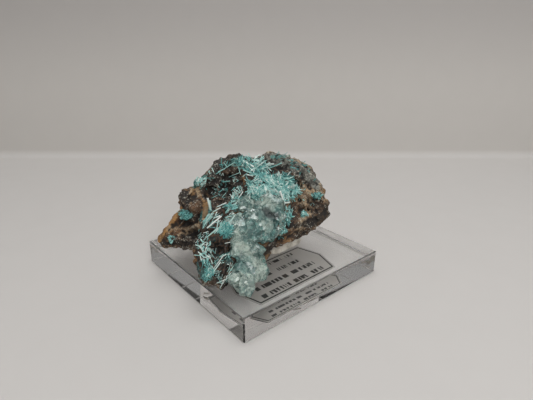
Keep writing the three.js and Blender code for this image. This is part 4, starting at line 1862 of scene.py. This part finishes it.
@dataclass
class CrystalCluster:
    """The cloudy hemimorphite crystals down the middle of the face."""

    voxel: float = 0.16
    relief: Roughening = Roughening(Relief.SOFT, 1.8, 0.35, 0.5, 1)
    faces: int = 210  # flat faces on the lobes
    face_tilt: float = 0.22
    face_reach: float = 0.4
    sharp: float = 28  # degrees from which an edge shows
    small: int = 90  # small crystals on the lobes
    small_size: Span = (0.4, 1.2)
    small_tilt: float = 0.4
    small_thickness: Span = (0.4, 1.0)
    small_sunk: float = 0.4  # the share of a small crystal's length that is sunk in
    seed: int = 9
    # u, v, across, up, count and the least and greatest size of the crystals between the lobes
    between: tuple[tuple[float, ...], ...] = (
        (249, 215, 8, 4, 22, 1.4, 2.4), (278, 226, 4, 9, 16, 1.0, 1.8), (243, 204, 8, 3, 8, 0.9, 1.6),
        (262, 203, 9, 3, 8, 1.0, 1.8), (233, 236, 3, 8, 8, 0.9, 1.5),
    )
    smoke: tuple[Stroke, ...] = (
        Stroke(268, 214, 276, 216, 5, 1.0), Stroke(262, 210, 270, 206, 3, 0.5), spot(241, 218, 4, 0.4),
        Stroke(248, 228, 262, 236, 6, 0.35),
    )
    stain: tuple[Stroke, ...] = (
        Stroke(250, 226, 268, 240, 8, 1.0), Stroke(262, 258, 266, 272, 5, 0.6),
        Stroke(280, 212, 272, 238, 4, 1.0), Stroke(236, 262, 242, 270, 5, 0.8), spot(252, 208, 5, 0.5),
    )
    milk: tuple[Stroke, ...] = (
        Stroke(240, 280, 256, 284, 8, 0.8), Stroke(258, 262, 262, 272, 5, 1.0),
        Stroke(238, 244, 248, 250, 5, 0.8), Stroke(254, 200, 268, 201, 4, 0.9),
        Stroke(236, 226, 238, 236, 4, 0.5),
    )

    def build(self, bed: Bed) -> None:
        """Builds the lobes and the small crystals on and between them.

        Args:
            bed: The surfaces that crystals between the lobes are rooted in.
        """
        lobes = merged_copy("hemimorphite_cluster", "crystal_lobes")
        remesh(lobes, self.voxel)
        self.relief.add_to(lobes)
        apply_modifiers(lobes)
        self.flatten(lobes)
        piece = join([lobes, self.druse(lobes, bed)], "crystal_cluster")
        places = VIEW.project(read(piece.data.vertices, "co"))
        tints = [cover(strokes, places) for strokes in (self.smoke, self.stain, self.milk)]
        store(piece, "tints", np.stack([*tints, np.zeros(len(places))], axis=1))
        piece.data.materials.append(CrystalFinish().material())
        pick(piece)
        bpy.ops.object.shade_smooth_by_angle(angle=math.radians(self.sharp))
        settle(piece, "hemimorphite_cluster")

    def flatten(self, lobes: bpy.types.Object) -> None:
        """Gives the lobes flat faces, each with a tone of its own.

        Args:
            lobes: The lobes.
        """
        rng = np.random.default_rng(self.seed + 1)
        points, normals = read(lobes.data.vertices, "co"), read(lobes.data.vertices, "normal")
        picks = rng.choice(len(points), self.faces, replace=False)
        centres = points[picks]
        ways = units(normals[picks] + rng.normal(0, self.face_tilt, (self.faces, 3)))
        apart = (centres**2).sum(axis=1)[None] - 2 * points @ centres.T
        nearest = apart.argmin(axis=1)
        way = ways[nearest]
        above = np.einsum("ij,ij->i", points - centres[nearest], way)
        reach = self.face_reach * MM
        flat = points - np.clip(above, -reach, reach)[:, None] * way
        lobes.data.vertices.foreach_set("co", flat.ravel())
        lobes.data.update()
        store(lobes, "tone", rng.random(self.faces)[nearest])

    def druse(self, lobes: bpy.types.Object, bed: Bed) -> bpy.types.Object:
        """Scatters small crystals over the lobes and between them, partly sunk in what they grew on.

        Args:
            lobes: The lobes.
            bed: The surfaces between them.

        Returns:
            The small crystals as one object.
        """
        rng = np.random.default_rng(self.seed)
        crystal = Shape.prism(6, -0.5, 0.5, (0, 0, 0.3), (0.45, 0.6))
        centres, normals = read(lobes.data.polygons, "center"), read(lobes.data.polygons, "normal")
        chance = np.clip(-(normals @ VIEW.axes()[2]), 0, 1)
        picks = rng.choice(len(centres), self.small, p=chance / chance.sum())
        roots, ways = list(centres[picks]), list(normals[picks])
        sizes = list(rng.uniform(*self.small_size, self.small))
        for u, v, across, up, count, low, high in self.between:
            for _ in range(count):
                found = bed.hit(u + rng.normal(0, across / 2), v + rng.normal(0, up / 2))
                if found is not None:
                    roots.append(found[0])
                    ways.append(found[1])
                    sizes.append(rng.uniform(low, high))
        total = len(roots)
        axis = units(np.array(ways) + rng.normal(0, self.small_tilt, (total, 3)))
        side = units(np.cross(axis, rng.normal(size=(total, 3))))
        other = np.cross(axis, side) * rng.uniform(*self.small_thickness, (total, 1))
        size = np.array(sizes)[:, None] * MM
        middles = np.array(roots) - axis * size * self.small_sunk
        druse = crystal.copies("druse", middles, side * size, other * size, axis * size)
        store(druse, "tone", np.repeat(rng.random(total), len(crystal.points)))
        return druse


# The studio


@dataclass(frozen=True)
class Lamp:
    """A square area lamp aimed at the specimen. Its sizes are metres and its power is watts."""

    name: str
    place: Place
    size: float
    power: float
    aim: Place = (0, 0, 0.015)

    def hang(self) -> None:
        """Hangs the lamp in its place."""
        data = bpy.data.lights.new(self.name, "AREA")
        data.size = self.size
        data.energy = self.power
        lamp = bpy.data.objects.new(self.name, data)
        lamp.location = self.place
        lamp.rotation_euler = (Vector(self.aim) - lamp.location).to_track_quat("-Z", "Y").to_euler()
        bpy.context.collection.objects.link(lamp)


@dataclass
class Studio:
    """The camera, the lights and the pale surface that the specimen stands on."""

    sensor: float = 36.0
    near: float = 2.0
    far: float = 10000.0
    wall_away: float = 117.0  # behind the base's middle, along the view
    wall_height: float = 700.0
    table_width: float = 1600.0
    table_depth: float = 800.0
    table_gap: float = 0.05  # between the table and the slab
    cove: float = 4.0
    cove_steps: int = 8
    low_light: Colour = (0.08, 0.079, 0.077, 1)
    high_light: Colour = (0.47, 0.466, 0.457, 1)
    light_from: Span = (0.2, 0.95)  # heights in the sky between which the low light becomes the high
    lamps: tuple[Lamp, ...] = (
        Lamp("overhead", (0.075, 0.04, 0.5), 0.34, 1.32),
        Lamp("fill", (-0.14, -0.3, 0.26), 0.22, 0.88),
    )

    def build(self) -> None:
        """Sets everything up."""
        self.camera()
        self.backdrop()
        self.room()
        for lamp in self.lamps:
            lamp.hang()
        LOG.info("studio ready")

    def camera(self) -> None:
        """Stands the camera at the eye of the view grid."""
        data = bpy.data.cameras.new("camera")
        data.sensor_width = self.sensor
        data.lens = self.sensor * VIEW.focal / VIEW.width
        data.clip_start, data.clip_end = self.near * MM, self.far * MM
        camera = bpy.data.objects.new("camera", data)
        camera.location = Vector(VIEW.eye) * MM
        camera.rotation_euler = Vector(VIEW.axes()[2]).to_track_quat("-Z", "Y").to_euler()
        bpy.context.collection.objects.link(camera)
        bpy.context.scene.camera = camera

    def backdrop(self) -> None:
        """Models the table and the wall behind it as one sheet with a small cove."""
        deselect()
        bpy.ops.mesh.primitive_plane_add(size=1, location=(0, 0, 0))
        sheet = bpy.context.object
        sheet.name = "backdrop"
        bpy.ops.object.mode_set(mode="EDIT")
        bpy.ops.mesh.select_all(action="SELECT")
        bpy.ops.transform.resize(value=(self.table_width * MM, self.table_depth * MM, 1))
        bpy.ops.transform.translate(value=(0, (self.wall_away - self.table_depth / 2) * MM, 0))
        bpy.ops.object.mode_set(mode="OBJECT")
        select_where(sheet, self.in_fold)
        bpy.ops.object.mode_set(mode="EDIT")
        bpy.ops.mesh.extrude_region_move(TRANSFORM_OT_translate={"value": (0, 0, self.wall_height * MM)})
        bpy.ops.object.mode_set(mode="OBJECT")
        select_where(sheet, self.in_fold)
        bpy.ops.object.mode_set(mode="EDIT")
        bpy.ops.mesh.select_mode(type="EDGE")
        bpy.ops.mesh.bevel(offset=self.cove * MM, segments=self.cove_steps)
        bpy.ops.object.mode_set(mode="OBJECT")
        turn = Matrix.Rotation(-math.radians(VIEW.yaw), 4, "Z")
        sheet.data.transform(Matrix.Translation((0, 0, -self.table_gap * MM)) @ turn)
        sheet.data.shade_smooth()
        sheet.data.materials.append(BackdropFinish().material())

    def in_fold(self, at: Vector) -> bool:
        """Whether a place lies on the edge where the table meets the wall."""
        return abs(at.y - self.wall_away * MM) < NEAR and abs(at.z) < NEAR

    def room(self) -> None:
        """Fills the room with light that is dimmer near the floor than overhead."""
        world = bpy.data.worlds.new("room")
        tree = NodeTree(world)
        way = tree.add("ShaderNodeTexCoord", {}, {}, "Generated")
        height = tree.add("ShaderNodeSeparateXYZ", {}, {0: way}, 2)
        colour = tree.mix(height.step(*self.light_from), self.low_light, self.high_light)
        light = tree.add("ShaderNodeBackground", {}, {0: colour, 1: 1.0})
        tree.add("ShaderNodeOutputWorld", {}, {0: light})
        bpy.context.scene.world = world


def main() -> None:
    """Builds the studio and every piece of the specimen, in order."""
    logging.basicConfig(level=logging.INFO, format="%(message)s")
    bpy.context.scene.view_settings.view_transform = "Standard"
    Studio().build()
    DisplayBase().build()
    Putty().build()
    stone = Stone().build()
    felt_finish, needle_finish = FeltFinish().material(), NeedleFinish().material()
    felt = Felt().build(felt_finish)
    needle = Shape.prism(4, 0, 0.85, (0.1, 0, 0.15))
    bed = Bed.of([stone, felt], ["limonite_stone", "aurichalcite_crust"])
    Needles().build(needle, bed, needle_finish)
    for tuft in TUFTS:
        tuft.build(needle, felt_finish, needle_finish)
    CrystalCluster().build(bed)


if __name__ == "__main__":
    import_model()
    main()
